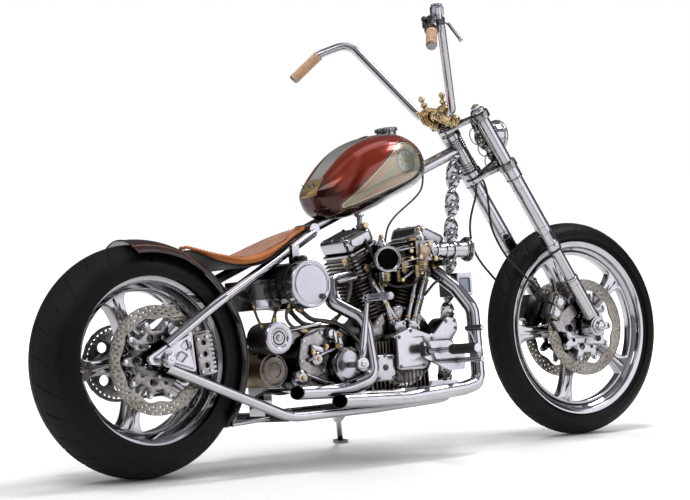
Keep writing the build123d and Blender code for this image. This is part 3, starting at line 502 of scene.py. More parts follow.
def sweepShape(line, sections, closedLine=False, caps=True):
    # a section of (u, v), or one for each point, carried along a line
    line = [Vector(p) for p in line]
    verts, faces = [], []
    normal = None
    for k, point in enumerate(line):
        before = line[k - 1] if k or closedLine else point
        after = line[(k + 1) % len(line)] if k + 1 < len(line) or closedLine else point
        along = (after - before).normalized()
        if normal is None:
            normal = along.orthogonal().normalized()
        normal = (normal - along * normal.dot(along)).normalized()
        side = along.cross(normal)
        section = sections[k] if isinstance(sections[0][0], (list, tuple)) else sections
        verts += [tuple(point + normal * u + side * v) for u, v in section]
    count = len(verts) // len(line)
    for k in range(len(line) if closedLine else len(line) - 1):
        a, b = k * count, ((k + 1) % len(line)) * count
        for j in range(count):
            m = (j + 1) % count
            faces.append((a + j, a + m, b + m, b + j))
    if caps and not closedLine:
        faces.append(tuple(reversed(range(count))))
        faces.append(tuple(len(verts) - count + j for j in range(count)))
    return verts, faces


def tubeShape(points, radius):
    return sweepShape(splineThrough(points), circleOutline(radius, 16))


def plateShape(outlines, thick, bevel, curveSteps=2):
    # flat plate from an outline and its holes, with rounded edges, centred on its own z
    curve = bpy.data.curves.new("plate", "CURVE")
    curve.dimensions = "2D"
    curve.fill_mode = "BOTH"
    curve.extrude = (thick / 2 - bevel) / 1000
    curve.bevel_depth = bevel / 1000
    curve.offset = -bevel / 1000
    curve.bevel_resolution = curveSteps
    for outline in outlines:
        spline = curve.splines.new("POLY")
        spline.points.add(len(outline) - 1)
        for point, (x, y) in zip(spline.points, outline):
            point.co = (x / 1000, y / 1000, 0, 1)
        spline.use_cyclic_u = True
    holder = newObject("plate", curve)
    raw = finishedMesh(holder)
    bpy.data.objects.remove(holder)
    verts = [tuple(v.co * 1000) for v in raw.vertices]
    faces = [tuple(p.vertices) for p in raw.polygons]
    bpy.data.meshes.remove(raw)
    return verts, faces


def plateMesh(name, outlines, thick, bevel, matrix, curveSteps=2):
    return tidyMesh(name, *plateShape(outlines, thick, bevel, curveSteps), matrix, creaseAngle=50)


def circleOutline(radius, steps=48, centre=(0, 0)):
    return [polar(radius, a, *centre) for a in spread(steps)]


# Geometry Nodes tools

def geometryTree(name, inputs):
    tree = bpy.data.node_groups.new(name, "GeometryNodeTree")
    tree.interface.new_socket("Geometry", in_out="INPUT", socket_type="NodeSocketGeometry")
    for label, kind, value in inputs:
        socket = tree.interface.new_socket(label, in_out="INPUT", socket_type=kind)
        if value is not None:
            socket.default_value = value
    tree.interface.new_socket("Geometry", in_out="OUTPUT", socket_type="NodeSocketGeometry")
    start = tree.nodes.new("NodeGroupInput")
    end = tree.nodes.new("NodeGroupOutput")
    realize = tree.nodes.new("GeometryNodeRealizeInstances")
    dress = tree.nodes.new("GeometryNodeSetMaterial")
    tree.links.new(realize.outputs[0], dress.inputs["Geometry"])
    tree.links.new(start.outputs["Material"], dress.inputs["Material"])
    tree.links.new(dress.outputs[0], end.inputs[0])
    return tree, start, realize


def boltTree():
    tree, start, realize = geometryTree("boltHeads",
        [("Head Radius", "NodeSocketFloat", 0.004), ("Head Height", "NodeSocketFloat", 0.003),
        ("Sides", "NodeSocketInt", 6), ("Material", "NodeSocketMaterial", None)])
    new, link = tree.nodes.new, tree.links.new
    washer = new("GeometryNodeMeshCylinder")
    washer.inputs["Vertices"].default_value = 20
    head = new("GeometryNodeMeshCylinder")
    link(start.outputs["Sides"], head.inputs["Vertices"])
    dome = new("GeometryNodeMeshCone")
    dome.inputs["Vertices"].default_value = 12
    values = {}
    for label, source, factor in (("washerRadius", "Head Radius", 1.3), ("washerHeight", "Head Height", 0.3),
            ("lift", "Head Height", 0.5), ("capRadius", "Head Radius", 0.82), ("capTop", "Head Radius", 0.6),
            ("capHeight", "Head Height", 0.25), ("capLift", "Head Height", 1.0)):
        node = new("ShaderNodeMath")
        node.operation = "MULTIPLY"
        link(start.outputs[source], node.inputs[0])
        node.inputs[1].default_value = factor
        values[label] = node.outputs[0]
    link(values["washerRadius"], washer.inputs["Radius"])
    link(values["washerHeight"], washer.inputs["Depth"])
    link(start.outputs["Head Radius"], head.inputs["Radius"])
    link(start.outputs["Head Height"], head.inputs["Depth"])
    link(values["capRadius"], dome.inputs["Radius Bottom"])
    link(values["capTop"], dome.inputs["Radius Top"])
    link(values["capHeight"], dome.inputs["Depth"])
    join = new("GeometryNodeJoinGeometry")
    link(washer.outputs["Mesh"], join.inputs[0])
    for shape, lift in ((head, "lift"), (dome, "capLift")):
        move = new("GeometryNodeTransform")
        combine = new("ShaderNodeCombineXYZ")
        link(values[lift], combine.inputs["Z"])
        link(combine.outputs[0], move.inputs["Translation"])
        link(shape.outputs["Mesh"], move.inputs["Geometry"])
        link(move.outputs[0], join.inputs[0])
    facing = new("GeometryNodeInputNamedAttribute")
    facing.data_type = "FLOAT_VECTOR"
    facing.inputs["Name"].default_value = "facing"
    align = new("FunctionNodeAlignRotationToVector")
    align.axis = "Z"
    link(facing.outputs["Attribute"], align.inputs["Vector"])
    copies = new("GeometryNodeInstanceOnPoints")
    link(start.outputs["Geometry"], copies.inputs["Points"])
    link(join.outputs[0], copies.inputs["Instance"])
    link(align.outputs[0], copies.inputs["Rotation"])
    link(copies.outputs[0], realize.inputs[0])
    return tree


def ringTree():
    tree, start, realize = geometryTree("ringsOnLine",
        [("Pitch", "NodeSocketFloat", 0.004), ("Ring Radius", "NodeSocketFloat", 0.018),
        ("Ring Thickness", "NodeSocketFloat", 0.0015), ("Material", "NodeSocketMaterial", None)])
    new, link = tree.nodes.new, tree.links.new
    toCurve = new("GeometryNodeMeshToCurve")
    again = new("GeometryNodeResampleCurve")
    again.mode = "LENGTH"
    link(start.outputs["Geometry"], toCurve.inputs[0])
    link(toCurve.outputs[0], again.inputs["Curve"])
    link(start.outputs["Pitch"], again.inputs["Length"])
    tangent = new("GeometryNodeInputTangent")
    align = new("FunctionNodeAlignRotationToVector")
    align.axis = "Z"
    link(tangent.outputs[0], align.inputs["Vector"])
    circle = new("GeometryNodeCurvePrimitiveCircle")
    circle.inputs["Resolution"].default_value = 28
    link(start.outputs["Ring Radius"], circle.inputs["Radius"])
    section = new("GeometryNodeCurvePrimitiveCircle")
    section.inputs["Resolution"].default_value = 8
    link(start.outputs["Ring Thickness"], section.inputs["Radius"])
    ring = new("GeometryNodeCurveToMesh")
    link(circle.outputs["Curve"], ring.inputs["Curve"])
    link(section.outputs["Curve"], ring.inputs["Profile Curve"])
    copies = new("GeometryNodeInstanceOnPoints")
    link(again.outputs[0], copies.inputs["Points"])
    link(ring.outputs[0], copies.inputs["Instance"])
    link(align.outputs[0], copies.inputs["Rotation"])
    link(copies.outputs[0], realize.inputs[0])
    return tree


trees = {"bolts": boltTree(), "rings": ringTree()}


slotFor = {  # the paint that a user changes, by finish
    "boreShadeBlack": "black_paint", "braided": "hose_rubber", "brassPolish": "brass", "castAlloy": "polished",
    "chainSteel": "chain_steel", "chromePlate": "chrome", "darkCasting": "chrome",
    "dullBlack": "black_paint", "engineAlloy": "engine_metal", "finIron": "barrel_iron",
    "glossBlack": "black_paint", "goldCasting": "engine_metal", "hoseRubber": "hose_rubber",
    "lampGlass": "chrome", "maroonPaint": "fender_paint", "polishedAlloy": "polished",
    "rimLeather": "leather", "satinAlloy": "polished", "slateAlloy": "polished", "tanGrip": "grip",
}


def grown(name, tree, source, values, body, finishName, slot=None):
    # what the tree grows on the mesh, as a plain mesh
    holder = newObject(name, source)
    modifier = holder.modifiers.new(name, "NODES")
    modifier.node_group = tree
    names = {item.name: item.identifier for item in tree.interface.items_tree if item.in_out == "INPUT"}
    for label, value in values.items():
        modifier[names[label]] = value
    modifier[names["Material"]] = finishes[finishName].material
    mesh = finishedMesh(holder)
    holder.modifiers.clear()
    bpy.data.objects.remove(holder)
    return newPiece(name, mesh, finishName, body, smooth=False, slot=slot)


def bolts(name, spots, radius, height, finishName="chromePlate", body="chassis", sides=6, slot=None):
    # spots: pairs of place and outward
    mesh = bpy.data.meshes.new(name)
    mesh.from_pydata([bikeToRow @ Vector(place) for place, _ in spots], [], [])
    facing = mesh.attributes.new("facing", "FLOAT_VECTOR", "POINT")
    turn = bikeToRow.to_3x3().normalized()
    for item, (_, outward) in zip(facing.data, spots):
        item.vector = turn @ Vector(outward).normalized()
    return grown(name, trees["bolts"], mesh, {"Head Radius": radius / 1000, "Head Height": height / 1000,
        "Sides": sides}, body, finishName, slot)


def rings(name, lines, pitch, radius, thick, finishName="chromePlate", body="chassis", slot=None):
    verts, edges = [], []
    for line in lines:
        base = len(verts)
        verts += [bikeToRow @ Vector(p) for p in line]
        edges += [(base + k, base + k + 1) for k in range(len(line) - 1)]
    mesh = bpy.data.meshes.new(name)
    mesh.from_pydata(verts, edges, [])
    return grown(name, trees["rings"], mesh,
        {"Pitch": pitch / 1000, "Ring Radius": radius / 1000, "Ring Thickness": thick / 1000}, body,
        finishName, slot)


print("tools ready")


# Wheels

rearWheel = {
    "centre": (0, 0, rearAxle), "radius": 330, "crown": 100, "width": 197, "bead": 228.6, "lip": 243,
    "rimWidth": 155, "hub": 42, "hubWidth": 190, "axle": 12.8, "spokes": 5, "turn": 104, "spokeHalf": 24,
    "spokeThick": 46, "grooves": 26, "around": 960, "rings": 44, "well": 205,
}
frontWheel = {
    "centre": tuple(frontAxle), "radius": 341.5, "crown": 50, "width": 98, "bead": 266.7, "lip": 279,
    "rimWidth": 70, "hub": 30, "hubWidth": 104, "axle": 11.3, "spokes": 5, "turn": 106, "spokeHalf": 21,
    "spokeThick": 30, "grooves": 34, "around": 1000, "rings": 32, "well": 244,
}


def wheelFrame(centre):
    return frameAt(centre, (0, 1, 0))


def tyreSection(wheel, count):
    # (radius, side) from one bead over the crown to the other
    radius, crown, half = wheel["radius"], wheel["crown"], wheel["width"] / 2
    shoulder = radius - crown * 0.82
    bead = wheel["rimWidth"] / 2 - 6.5
    tread = []
    for k in range(count + 1):
        side = -half * 0.995 + 2 * half * 0.995 * k / count
        # circle through both shoulders and the crown
        sag = radius - shoulder
        arc = (half * half + sag * sag) / (2 * sag)
        tread.append((radius - arc + sqrt(max(arc * arc - side * side, 0)), side))
    wall = [(shoulder - 12, half * 0.985), (wheel["lip"] + 26, half * 0.93),
        (wheel["lip"] + 12, half * 0.86), (wheel["lip"] + 5, bead + 5), (wheel["lip"] + 1.5, bead + 1),
        (wheel["bead"] + 3, bead - 1)]
    left = wall
    right = [(r, -y) for r, y in reversed(wall)]
    return right + tread + left, len(right)


def tyreMesh(name, wheel):
    section, first = tyreSection(wheel, wheel["rings"])
    half = wheel["width"] / 2
    verts, faces = [], []
    around, count = wheel["around"], len(section)
    for k in range(around):
        angle = 2 * pi * k / around
        for j, (r, y) in enumerate(section):
            share = y / half
            depth = 0.0
            if first <= j <= first + wheel["rings"]:
                sweep = abs(share)
                lane = (k / around * wheel["grooves"] + (0.95 * sweep ** 1.35)
                    + (0.5 if y > 0 else 0.0)) % 1.0
                reach = 1.0 if 0.10 < sweep < (0.86 if int(k / around * wheel["grooves"]) % 2
                    else 0.66) else 0.0
                depth = 5.0 * reach * max(0.0, 1 - abs(lane - 0.5) * wheel["radius"] * 2 * pi
                    / wheel["grooves"] / 4.2)
                if sweep < 0.035:
                    depth = max(depth, 2.2)
            verts.append(((r - depth) * cos(angle), (r - depth) * sin(angle), y))
    for k in range(around):
        a, b = k * count, ((k + 1) % around) * count
        for j in range(count):
            m = (j + 1) % count
            faces.append((a + j, b + j, b + m, a + m))
    return tidyMesh(name, verts, faces, wheelFrame(wheel["centre"]), creaseAngle=40)


def tyreFinish():
    # raised rings run round the sidewall
    for name, wheel in (("rearTyreRubber", rearWheel), ("frontTyreRubber", frontWheel)):
        finish = Finish(name, (0.02, 0.02, 0.021), roughness=0.55)
        x, y, side = finish.axes(wheelFrame(wheel["centre"]))
        radius = radiusOf(x, y)
        mask, height = finish.wear(30.0, 1.4)
        lines = None
        for ring in (wheel["lip"] + 9, wheel["lip"] + 15, wheel["radius"] - wheel["crown"] * 0.82 - 10):
            line = radius.band(ring, 0.9, 0.7)
            lines = line if lines is None else lines.most(line)
        tread = (side.size() - wheel["width"] / 2 * 0.75).below(0.0, 8.0)  # 1 on the tread
        finish.put("Base Color", tint(tread, (0.0035, 0.0035, 0.004), (0.010, 0.0098, 0.0095)))
        finish.put("Roughness", mask * 0.12 + 0.40 + tread * 0.12)
        finish.shader.inputs["Specular IOR Level"].default_value = 0.22
        finish.bump(height, 0.0003)
        finish.bump(lines, 0.0012)


def rimMesh(name, wheel):
    half, bead, lip, well = wheel["rimWidth"] / 2, wheel["bead"], wheel["lip"], wheel["well"]
    side = [(lip - 1.2, half), (lip, half - 1.5), (lip, half - 4.5), (lip - 3, half - 6),
        (bead + 1, half - 7), (bead, half - 10), (bead - 1, half - 18), (well + 6, half - 27),
        (well + 3, half - 32)]
    inner = [(well - 2, half - 34), (well - 1, half - 30), (bead - 9, half - 16), (bead - 6, half - 12),
        (bead - 5, half - 6), (bead - 3.5, half - 4), (lip - 6, half - 0.4), (lip - 4, half)]
    outside = roundedProfile(side + [(r, -y) for r, y in reversed(side)], 2.0)
    inside = roundedProfile([(r, -y) for r, y in reversed(inner)] + inner, 2.0)
    verts, faces = latheShape(outside + inside, 192, closed=True)
    return tidyMesh(name, verts, faces, wheelFrame(wheel["centre"]), creaseAngle=40)


def windowOutline(wheel, turn):
    # the opening between two spokes, flared at both ends
    outer = wheel["well"] - 9
    step = pi / wheel["spokes"]
    half = wheel["spokeHalf"]
    corner = [(outer, half * 1.62), (outer * 0.955, half * 1.32), (outer * 0.86, half * 1.02),
        (outer * 0.72, half * 0.9), (outer * 0.58, half * 0.96), (outer * 0.48, half * 1.18)]
    side = [(r, step - asin(min(1, w / r))) for r, w in corner]
    arc = [(outer + 1.5, a) for a in (side[0][1] * 0.9, side[0][1] * 0.6, side[0][1] * 0.3, 0)]
    end = [(outer * 0.435, side[-1][1] * 0.62), (outer * 0.42, 0)]
    halfLoop = arc[::-1] + side + end
    loop = halfLoop + [(r, -a) for r, a in reversed(halfLoop[1:-1])]
    points = splineThrough([(r * cos(a + turn), r * sin(a + turn), 0) for r, a in loop], 5, closed=True)
    return [(p[0], p[1]) for p in points]


def spokeMesh(name, wheel):
    turn = radians(wheel["turn"] + 180 / wheel["spokes"])
    outer = circleOutline(wheel["well"] + 3, 160)
    windows = [windowOutline(wheel, turn + k * 2 * pi / wheel["spokes"]) for k in range(wheel["spokes"])]
    small = []
    for k in range(wheel["spokes"]):
        angle = turn + k * 2 * pi / wheel["spokes"]
        small.append(circleOutline(wheel["hub"] * 0.24, 20, polar(wheel["hub"] * 1.42, angle)))
    return plateMesh(name, [outer] + windows + small, wheel["spokeThick"], 4.5, wheelFrame(wheel["centre"]),
        3)


def spokeRidges(name, wheel):
    # a raised spear down each spoke, on both faces
    shapes = []
    for k in range(wheel["spokes"]):
        angle = radians(wheel["turn"]) + k * 2 * pi / wheel["spokes"]
        for side in (-1, 1):
            verts, faces = [], []
            rows = 22
            for j in range(rows + 1):
                t = j / rows
                r = wheel["hub"] + 6 + (wheel["well"] - wheel["hub"] - 12) * t
                w = wheel["spokeHalf"] * (0.16 + 0.34 * t ** 2 + 0.12 * (1 - t) ** 3)
                rise = 4.5 * sin(pi * min(1, max(0, t * 1.02))) ** 0.5 + 0.2
                base = side * (wheel["spokeThick"] / 2 - 0.4)
                for u, lift in ((-w, 0), (-w * 0.35, rise * 0.75), (0, rise), (w * 0.35, rise * 0.75),
                        (w, 0)):
                    x, y = r, u
                    verts.append((x * cos(angle) - y * sin(angle), x * sin(angle) + y * cos(angle),
                        base + side * lift))
            for j in range(rows):
                for m in range(4):
                    a = j * 5 + m
                    faces.append((a, a + 1, a + 6, a + 5))
            faces += [(4, 3, 2, 1, 0), tuple(rows * 5 + m for m in range(5))]
            for j in range(rows):
                faces.append((j * 5, j * 5 + 5, j * 5 + 9, j * 5 + 4))
            shapes.append((verts, faces))
    verts, faces = joinShapes(*shapes)
    return tidyMesh(name, verts, faces, wheelFrame(wheel["centre"]), creaseAngle=30)


def hubMesh(name, wheel):
    half, hub, axle = wheel["hubWidth"] / 2, wheel["hub"], wheel["axle"]
    outside = [(axle, half), (hub * 0.62, half), (hub * 0.66, half - 3), (hub * 0.7, half * 0.62),
        (hub * 0.98, half * 0.5), (hub, half * 0.42)]
    profile = roundedProfile([(r, -y) for r, y in outside] + outside[::-1], 2.5)
    verts, faces = latheShape(profile, 96, closed=True)
    return tidyMesh(name, verts, faces, wheelFrame(wheel["centre"]), creaseAngle=35)


def discHoles(rows, count):
    holes = []
    for number, radius in enumerate(rows):
        for k in range(count):
            angle = 2 * pi * (k + (0.5 if number % 2 else 0.0)) / count
            holes.append(circleOutline(2.9, 10, polar(radius, angle)))
    return holes


brakeSettings = {"radius": 154, "inner": 114, "lobes": 10, "thick": 5, "rows": (148, 139, 130), "count": 36,
    "carrier": 112, "carrierIn": 44}


def rotorMesh(name, centre, side, settings):
    place = wheelFrame(centre) @ shift(0, 0, side)
    inner = [polar(settings["inner"] + 3 + 4 * cos(settings["lobes"] * a), a) for a in spread(160)]
    return plateMesh(name, [circleOutline(settings["radius"], 144), inner] + discHoles(settings["rows"],
        settings["count"]), settings["thick"], 0.6, place, 1)


def carrierMesh(name, centre, side, settings):
    place = wheelFrame(centre) @ shift(0, 0, side)
    lobes = settings["lobes"]
    outer = []
    for k in range(240):
        a = 2 * pi * k / 240
        wave = max(0.0, cos(lobes * a)) ** 0.6
        r = 82 + (settings["carrier"] - 82) * wave
        outer.append(polar(r, a))
    windows = []
    for k in range(5):
        a = 2 * pi * (k + 0.5) / 5
        windows.append(circleOutline(11, 22, polar(64, a)))
        a = 2 * pi * k / 5
        windows.append(circleOutline(6, 16, polar(66, a)))
    hole = circleOutline(settings["carrierIn"] - 18, 48)
    return plateMesh(name, [outer, hole] + windows, 7.5, 1.4, place, 2)


def carrierBolts(centre, side, settings, outward):
    spots = []
    place = wheelFrame(centre)
    for k in range(settings["lobes"]):
        a = 2 * pi * k / settings["lobes"]
        spots.append((place @ Vector((104 * cos(a), 104 * sin(a), side + outward * 3.6)), (0, outward, 0)))
    for k in range(5):
        a = 2 * pi * (k + 0.25) / 5
        spots.append((place @ Vector((44 * cos(a), 44 * sin(a), side + outward * 3.6)), (0, outward, 0)))
    return spots


def buildWheels():
    tyreFinish()
    for wheel, body, tag in ((rearWheel, "rear_wheel", "rear"), (frontWheel, "front_wheel", "front")):
        tyre = newPiece(f"{tag}Tyre", tyreMesh(f"{tag}Tyre", wheel), f"{tag}TyreRubber", body, slot="tyre")
        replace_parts(tyre, f"{tag}_tyre")
        for part, make, finishName in (("Barrel", rimMesh, "chromePlate"),
                ("Spokes", spokeMesh, "polishedAlloy"), ("SpokeRidges", spokeRidges, "chromePlate"),
                ("Hub", hubMesh, "chromePlate")):
            piece = newPiece(tag + part, make(tag + part, wheel), finishName, body, slot="polished")
            if part == "Barrel":
                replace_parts(piece, f"{tag}_rim")
    finish = Finish("rotorSteel", (0.4, 0.34, 0.3), metallic=1.0)
    mask, height = finish.wear(26.0, 2.0)
    finish.put("Base Color", tint(mask, (0.22, 0.195, 0.16), (0.54, 0.51, 0.45)))
    finish.put("Roughness", mask * -0.1 + 0.36)
    finish.bump(height, 0.0001)
    sides = {"rear": [(rearWheel["centre"], -112, -1)],
        "front": [(frontWheel["centre"], -59, -1), (frontWheel["centre"], 59, 1)]}
    for tag, body, node in (("rear", "rear_wheel", "rear_disc"), ("front", "front_wheel", "front_discs")):
        spots = []
        for number, (centre, side, outward) in enumerate(sides[tag]):
            rotor = newPiece(f"{tag}Rotor{number}",
                rotorMesh(f"{tag}Rotor{number}", centre, side, brakeSettings), "rotorSteel", body,
                slot="disc_steel")
            newPiece(f"{tag}Carrier{number}",
                carrierMesh(f"{tag}Carrier{number}", centre, side, brakeSettings),
                "polishedAlloy" if tag == "front" else "castAlloy", body, slot="disc_steel")
            spots += carrierBolts(centre, side, brakeSettings, outward)
            if number == 0:
                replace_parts(rotor, node)
        bolts(f"{tag}RotorBolts", spots, 6.0, 4.0, body=body, sides=12, slot="disc_steel")
    print("wheels built")


buildWheels()


# Paint on the tank and the fender

tankFrame = tiltedFrame((617, 0, 688), atan2(231, 581))
tankPaint = {
    "round": (358, 66, 57),  # along, up and radius of the panel's round end
    "tip": (96, 30, 8),  # along, up and radius of its point
    "candy": (0.34, 0.030, 0.006), "candyDeep": (0.050, 0.006, 0.004), "maroon": (0.026, 0.004, 0.004),
    "gold": (0.48, 0.31, 0.11), "cream": (0.60, 0.57, 0.44), "sage": (0.33, 0.37, 0.28),
    "silver": (0.66, 0.67, 0.64),
    "line": (0.03, 0.012, 0.01), "amber": (0.34, 0.16, 0.055),
}


def panelDistance(along, up, settings):
    # below 0 inside the teardrop's outline, above 0 outside
    ax, ay, ar = settings["tip"]
    bx, by, br = settings["round"]
    length = hypot(bx - ax, by - ay)
    ux, uy = (bx - ax) / length, (by - ay) / length
    t = (along - ax) * ux + (up - ay) * uy
    w = ((up - ay) * ux - (along - ax) * uy).size()
    slope = (br - ar) / length
    cosine = sqrt(1 - slope * slope)
    s = (t + w * (slope / cosine)).math("DIVIDE", length, clamp=True)
    return radiusOf(t - s * length, w) - (s * (br - ar) + ar), t, w


def tankFinish(settings):
    finish = Finish("candyPaint", settings["candy"], metallic=0.55, roughness=0.22, coat=1.0)
    along, side, up = finish.axes(tankFrame)
    mask, _ = finish.wear(5.0, 1.2)
    flake = noise(finish.tree, finish.place, 900.0, 0.0)
    deep = (up * 0.012 - 0.25).clamped() * (along * 0.022 - 1.5).clamped()
    colour = tint(deep, settings["candyDeep"], settings["candy"])
    # lower band below a line that climbs from the tail to the front
    border = up - (along * 0.07 + (along * 0.012).sine() * 4.0 + 4.0)
    lower = border.below(0.0, 0.8)
    colour = tint(lower, colour, settings["maroon"])
    # top plateau: gold scallop that runs from the tail to the filler and outlines the red
    crest = (side.size() - (along * 0.10 + 22.0)).below(0.0, 1.0)
    crestEdge = ((side.size() - (along * 0.10 + 22.0)).size() - 1.5).below(0.0, 0.8)
    high = up.above(96.0, 2.0)
    colour = tint(crest * high, colour, settings["silver"])
    colour = tint(crestEdge * high, colour, settings["gold"])
    tail = along.below(92.0, 3.0) * up.above(88.0, 2.0) * side.size().below(46.0, 1.0)
    colour = tint(tail, colour, settings["gold"])
    colour = tint(border.below(-25.0, 0.8), colour, settings["silver"])
    distance, t, w = panelDistance(along, up, settings)
    inside = distance.below(0.0, 0.7)
    fade = (t * 0.004 - 0.15).clamped()
    ground = tint(fade, settings["amber"], settings["cream"])
    stripe = w.below(10.0, 5.0)
    ground = tint(stripe * 0.75, ground, settings["sage"])
    # round medallion: rings, rays and a rosette
    mx, my, _ = settings["round"]
    dx, dy = along - (mx - 12.0), up - (my + 2.0)
    radius = radiusOf(dx, dy)
    angle = dy.math("ARCTAN2", dx)
    petals = (angle * 8.0).sine() * 5.0
    disc = radius.below(36.0, 0.7)
    leaf = (radius - 20.0 - petals).below(0.0, 1.0)
    eye = radius.below(8.0, 0.8)
    rays = (angle * 28.0).sine().below(0.0, 0.25) * disc
    ground = tint(disc, ground, settings["silver"])
    ground = tint(rays * radius.below(33.0, 0.8), ground, settings["sage"])
    ground = tint(leaf, ground, (0.40, 0.45, 0.34))
    ground = tint(((radius - 20.0 - petals).size() - 0.6).below(0.0, 0.5), ground, settings["line"])
    ground = tint(eye, ground, settings["gold"])
    ring = radius.band(36.0, 0.9, 0.5).most(radius.band(33.0, 0.5, 0.4))
    ground = tint(ring, ground, settings["line"])
    # a leafy wreath over and under the medallion
    wave = (angle * 11.0).sine() * 3.4
    wreath = ((radius - 43.0 - wave).size() - 1.6).below(0.0, 0.8) * dx.below(26.0, 4.0)
    ground = tint(wreath * radius.below(37.0, 0.5).math("SUBTRACT", 1.0).size(), ground, (0.48, 0.27, 0.08))
    inner = distance.band(-4.5, 0.8, 0.5)
    ground = tint(inner, ground, settings["gold"])
    colour = tint(inside, colour, ground)
    silver = distance.band(-1.2, 1.3, 0.5)
    colour = tint(silver, colour, settings["silver"])
    dark = distance.band(2.0, 1.5, 0.5)
    colour = tint(dark, colour, settings["line"])
    goldLine = distance.band(4.4, 0.5, 0.4).most((border.size() - 0.9).below(0.0,
        0.5) * (distance.below(5.0, 0.5) * -1.0 + 1.0))
    colour = tint(goldLine, colour, settings["gold"])
    finish.put("Base Color", colour)
    finish.put("Roughness", mask * 0.08 + 0.16)
    finish.bump(flake, 0.00003)


tankFinish(tankPaint)


def fenderFinish():
    finish = Finish("maroonPaint", (0.07, 0.010, 0.010), roughness=0.22, coat=1.0)
    _, _, side = finish.axes(wheelFrame(rearWheel["centre"]))
    mask, _ = finish.wear(5.0, 1.4)
    colour = tint(mask, (0.012, 0.003, 0.003), (0.050, 0.008, 0.007))
    line = side.size().band(78.0, 1.2, 0.6)
    colour = tint(line, colour, (0.50, 0.28, 0.10))
    finish.put("Base Color", colour)
    finish.put("Roughness", mask * 0.1 + 0.15)


fenderFinish()


# Finishes of the solids that stay as they are

carried = {  # the rest of them are chrome plated
    "polishedAlloy": "axle_plates fork_sliders",
    "castAlloy": "rear_caliper front_calipers",
    "engineAlloy": "crankcase gearbox starter primary_case carburettors",
    "brassPolish": "risers",
    "glossBlack": "electrics_box regulator",
    "dullBlack": "crossmembers tank_mounts seat_pan",
    "maroonPaint": "rear_fender",
    "candyPaint": "fuel_tank",
}
Finish("hoseRubber", (0.02, 0.02, 0.02), roughness=0.5).rough(0.35, 0.6, scale=60.0)
Finish("tanGrip", (0.78, 0.52, 0.34), roughness=0.6)
painted = {node: finishName for finishName, nodes in carried.items() for node in nodes.split()}
for node, piece in frame["nodes"].items():
    piece.data.materials.clear()
    piece.data.materials.append(finishes[painted.get(node, "chromePlate")].material)
print("solids painted")


# Shape helpers for fittings

def blockShape(size, bevel=2.0, place=Matrix.Identity(4), segments=2):
    work = bmesh.new()
    bmesh.ops.create_cube(work, size=1.0)
    bmesh.ops.scale(work, vec=size, verts=work.verts)
    bmesh.ops.bevel(work, geom=work.edges, offset=bevel, segments=segments, affect="EDGES", profile=0.5)
    shape = [tuple(place @ v.co) for v in work.verts], [tuple(v.index for v in f.verts) for f in work.faces]
    work.free()
    return shape


def turned(profile, place, steps=40, soften=0.6):
    return movedShape(latheShape(roundedProfile(profile, soften, 2), steps), place)


def hoop(inner, outer, low, high, place, steps=40, soften=0.6):
    return turned([(inner, low), (outer, low), (outer, high), (inner, high)], place, steps, soften)


def rodShape(a, b, radius):
    a, b = Vector(a), Vector(b)
    long = (b - a).length
    place = frameAt(a, b - a, (b - a).orthogonal())
    return hoop(0, radius, 0, long, place, 16, 0.8)


def ballShape(centre, radius, steps=20):
    arc = [(radius * sin(pi * k / 10), -radius * cos(pi * k / 10)) for k in range(11)]
    return movedShape(latheShape(arc, steps), Matrix.Translation(Vector(centre)))


def pieceOf(name, shapes, finishName, body="chassis", slot=None, crease=32):
    verts, faces = joinShapes(*shapes)
    return newPiece(name, tidyMesh(name, verts, faces, creaseAngle=crease), finishName, body, slot=slot)


def roundedOutline(points, radius, steps=5):
    result = []
    count = len(points)
    for k in range(count):
        a, b, c = (Vector(points[(k + j) % count]) for j in (-1, 0, 1))
        reach = min(radius, (a - b).length * 0.45, (c - b).length * 0.45)
        p, q = b + (a - b).normalized() * reach, b + (c - b).normalized() * reach
        for j in range(steps + 1):
            t = j / steps
            result.append(tuple(p * (1 - t) ** 2 + b * 2 * t * (1 - t) + q * t ** 2))
    return result


def rectangle(halfX, halfY, radius, centre=(0, 0)):
    x, y = centre
    return roundedOutline([(x - halfX, y - halfY), (x + halfX, y - halfY), (x + halfX, y + halfY),
        (x - halfX, y + halfY)], radius, 6)


def rightFace(y, x=0.0, z=0.0):
    return frameAt((x, y, z), (0, -1, 0))  # local x ahead, y up, z out to the right


def engineFrame(sign):
    return tiltedFrame((crankX, 0, crankZ), radians(-22.5) * sign)


def plates(name, sheets, finishName, body="chassis", slot=None):
    # sheets: outlines, thickness, bevel, place
    shapes = []
    for outlines, thick, bevel, place in sheets:
        verts, faces = plateShape(outlines, thick, bevel)
        shapes.append(movedShape((verts, faces), place))
    return pieceOf(name, shapes, finishName, body, slot=slot, crease=45)


# Engine

engine = {
    "fins": 11, "finRadius": 74, "finThick": 3.2, "barrelLow": 112, "barrelHigh": 240, "core": 56,
    "headFins": 6, "headLow": 247, "headPitch": 11.6, "headLong": 60, "headRight": -96, "headLeft": 70,
    "camCover": [(812, 250), (812, 360), (868, 378), (950, 350), (1004, 400), (1046, 398), (1052, 362),
                 (1014, 320), (932, 283), (921, 250)],
    "camBolts": [(823, 261), (823, 349), (868, 366), (946, 339), (1004, 388), (1038, 388), (1040, 366),
                 (1004, 324), (925, 294), (910, 261)],
    "pumpCover": [(738, 222), (738, 300), (811, 300), (811, 222)],
    "pumpBolts": [(747, 231), (747, 291), (802, 291), (802, 231), (774, 297)],
}


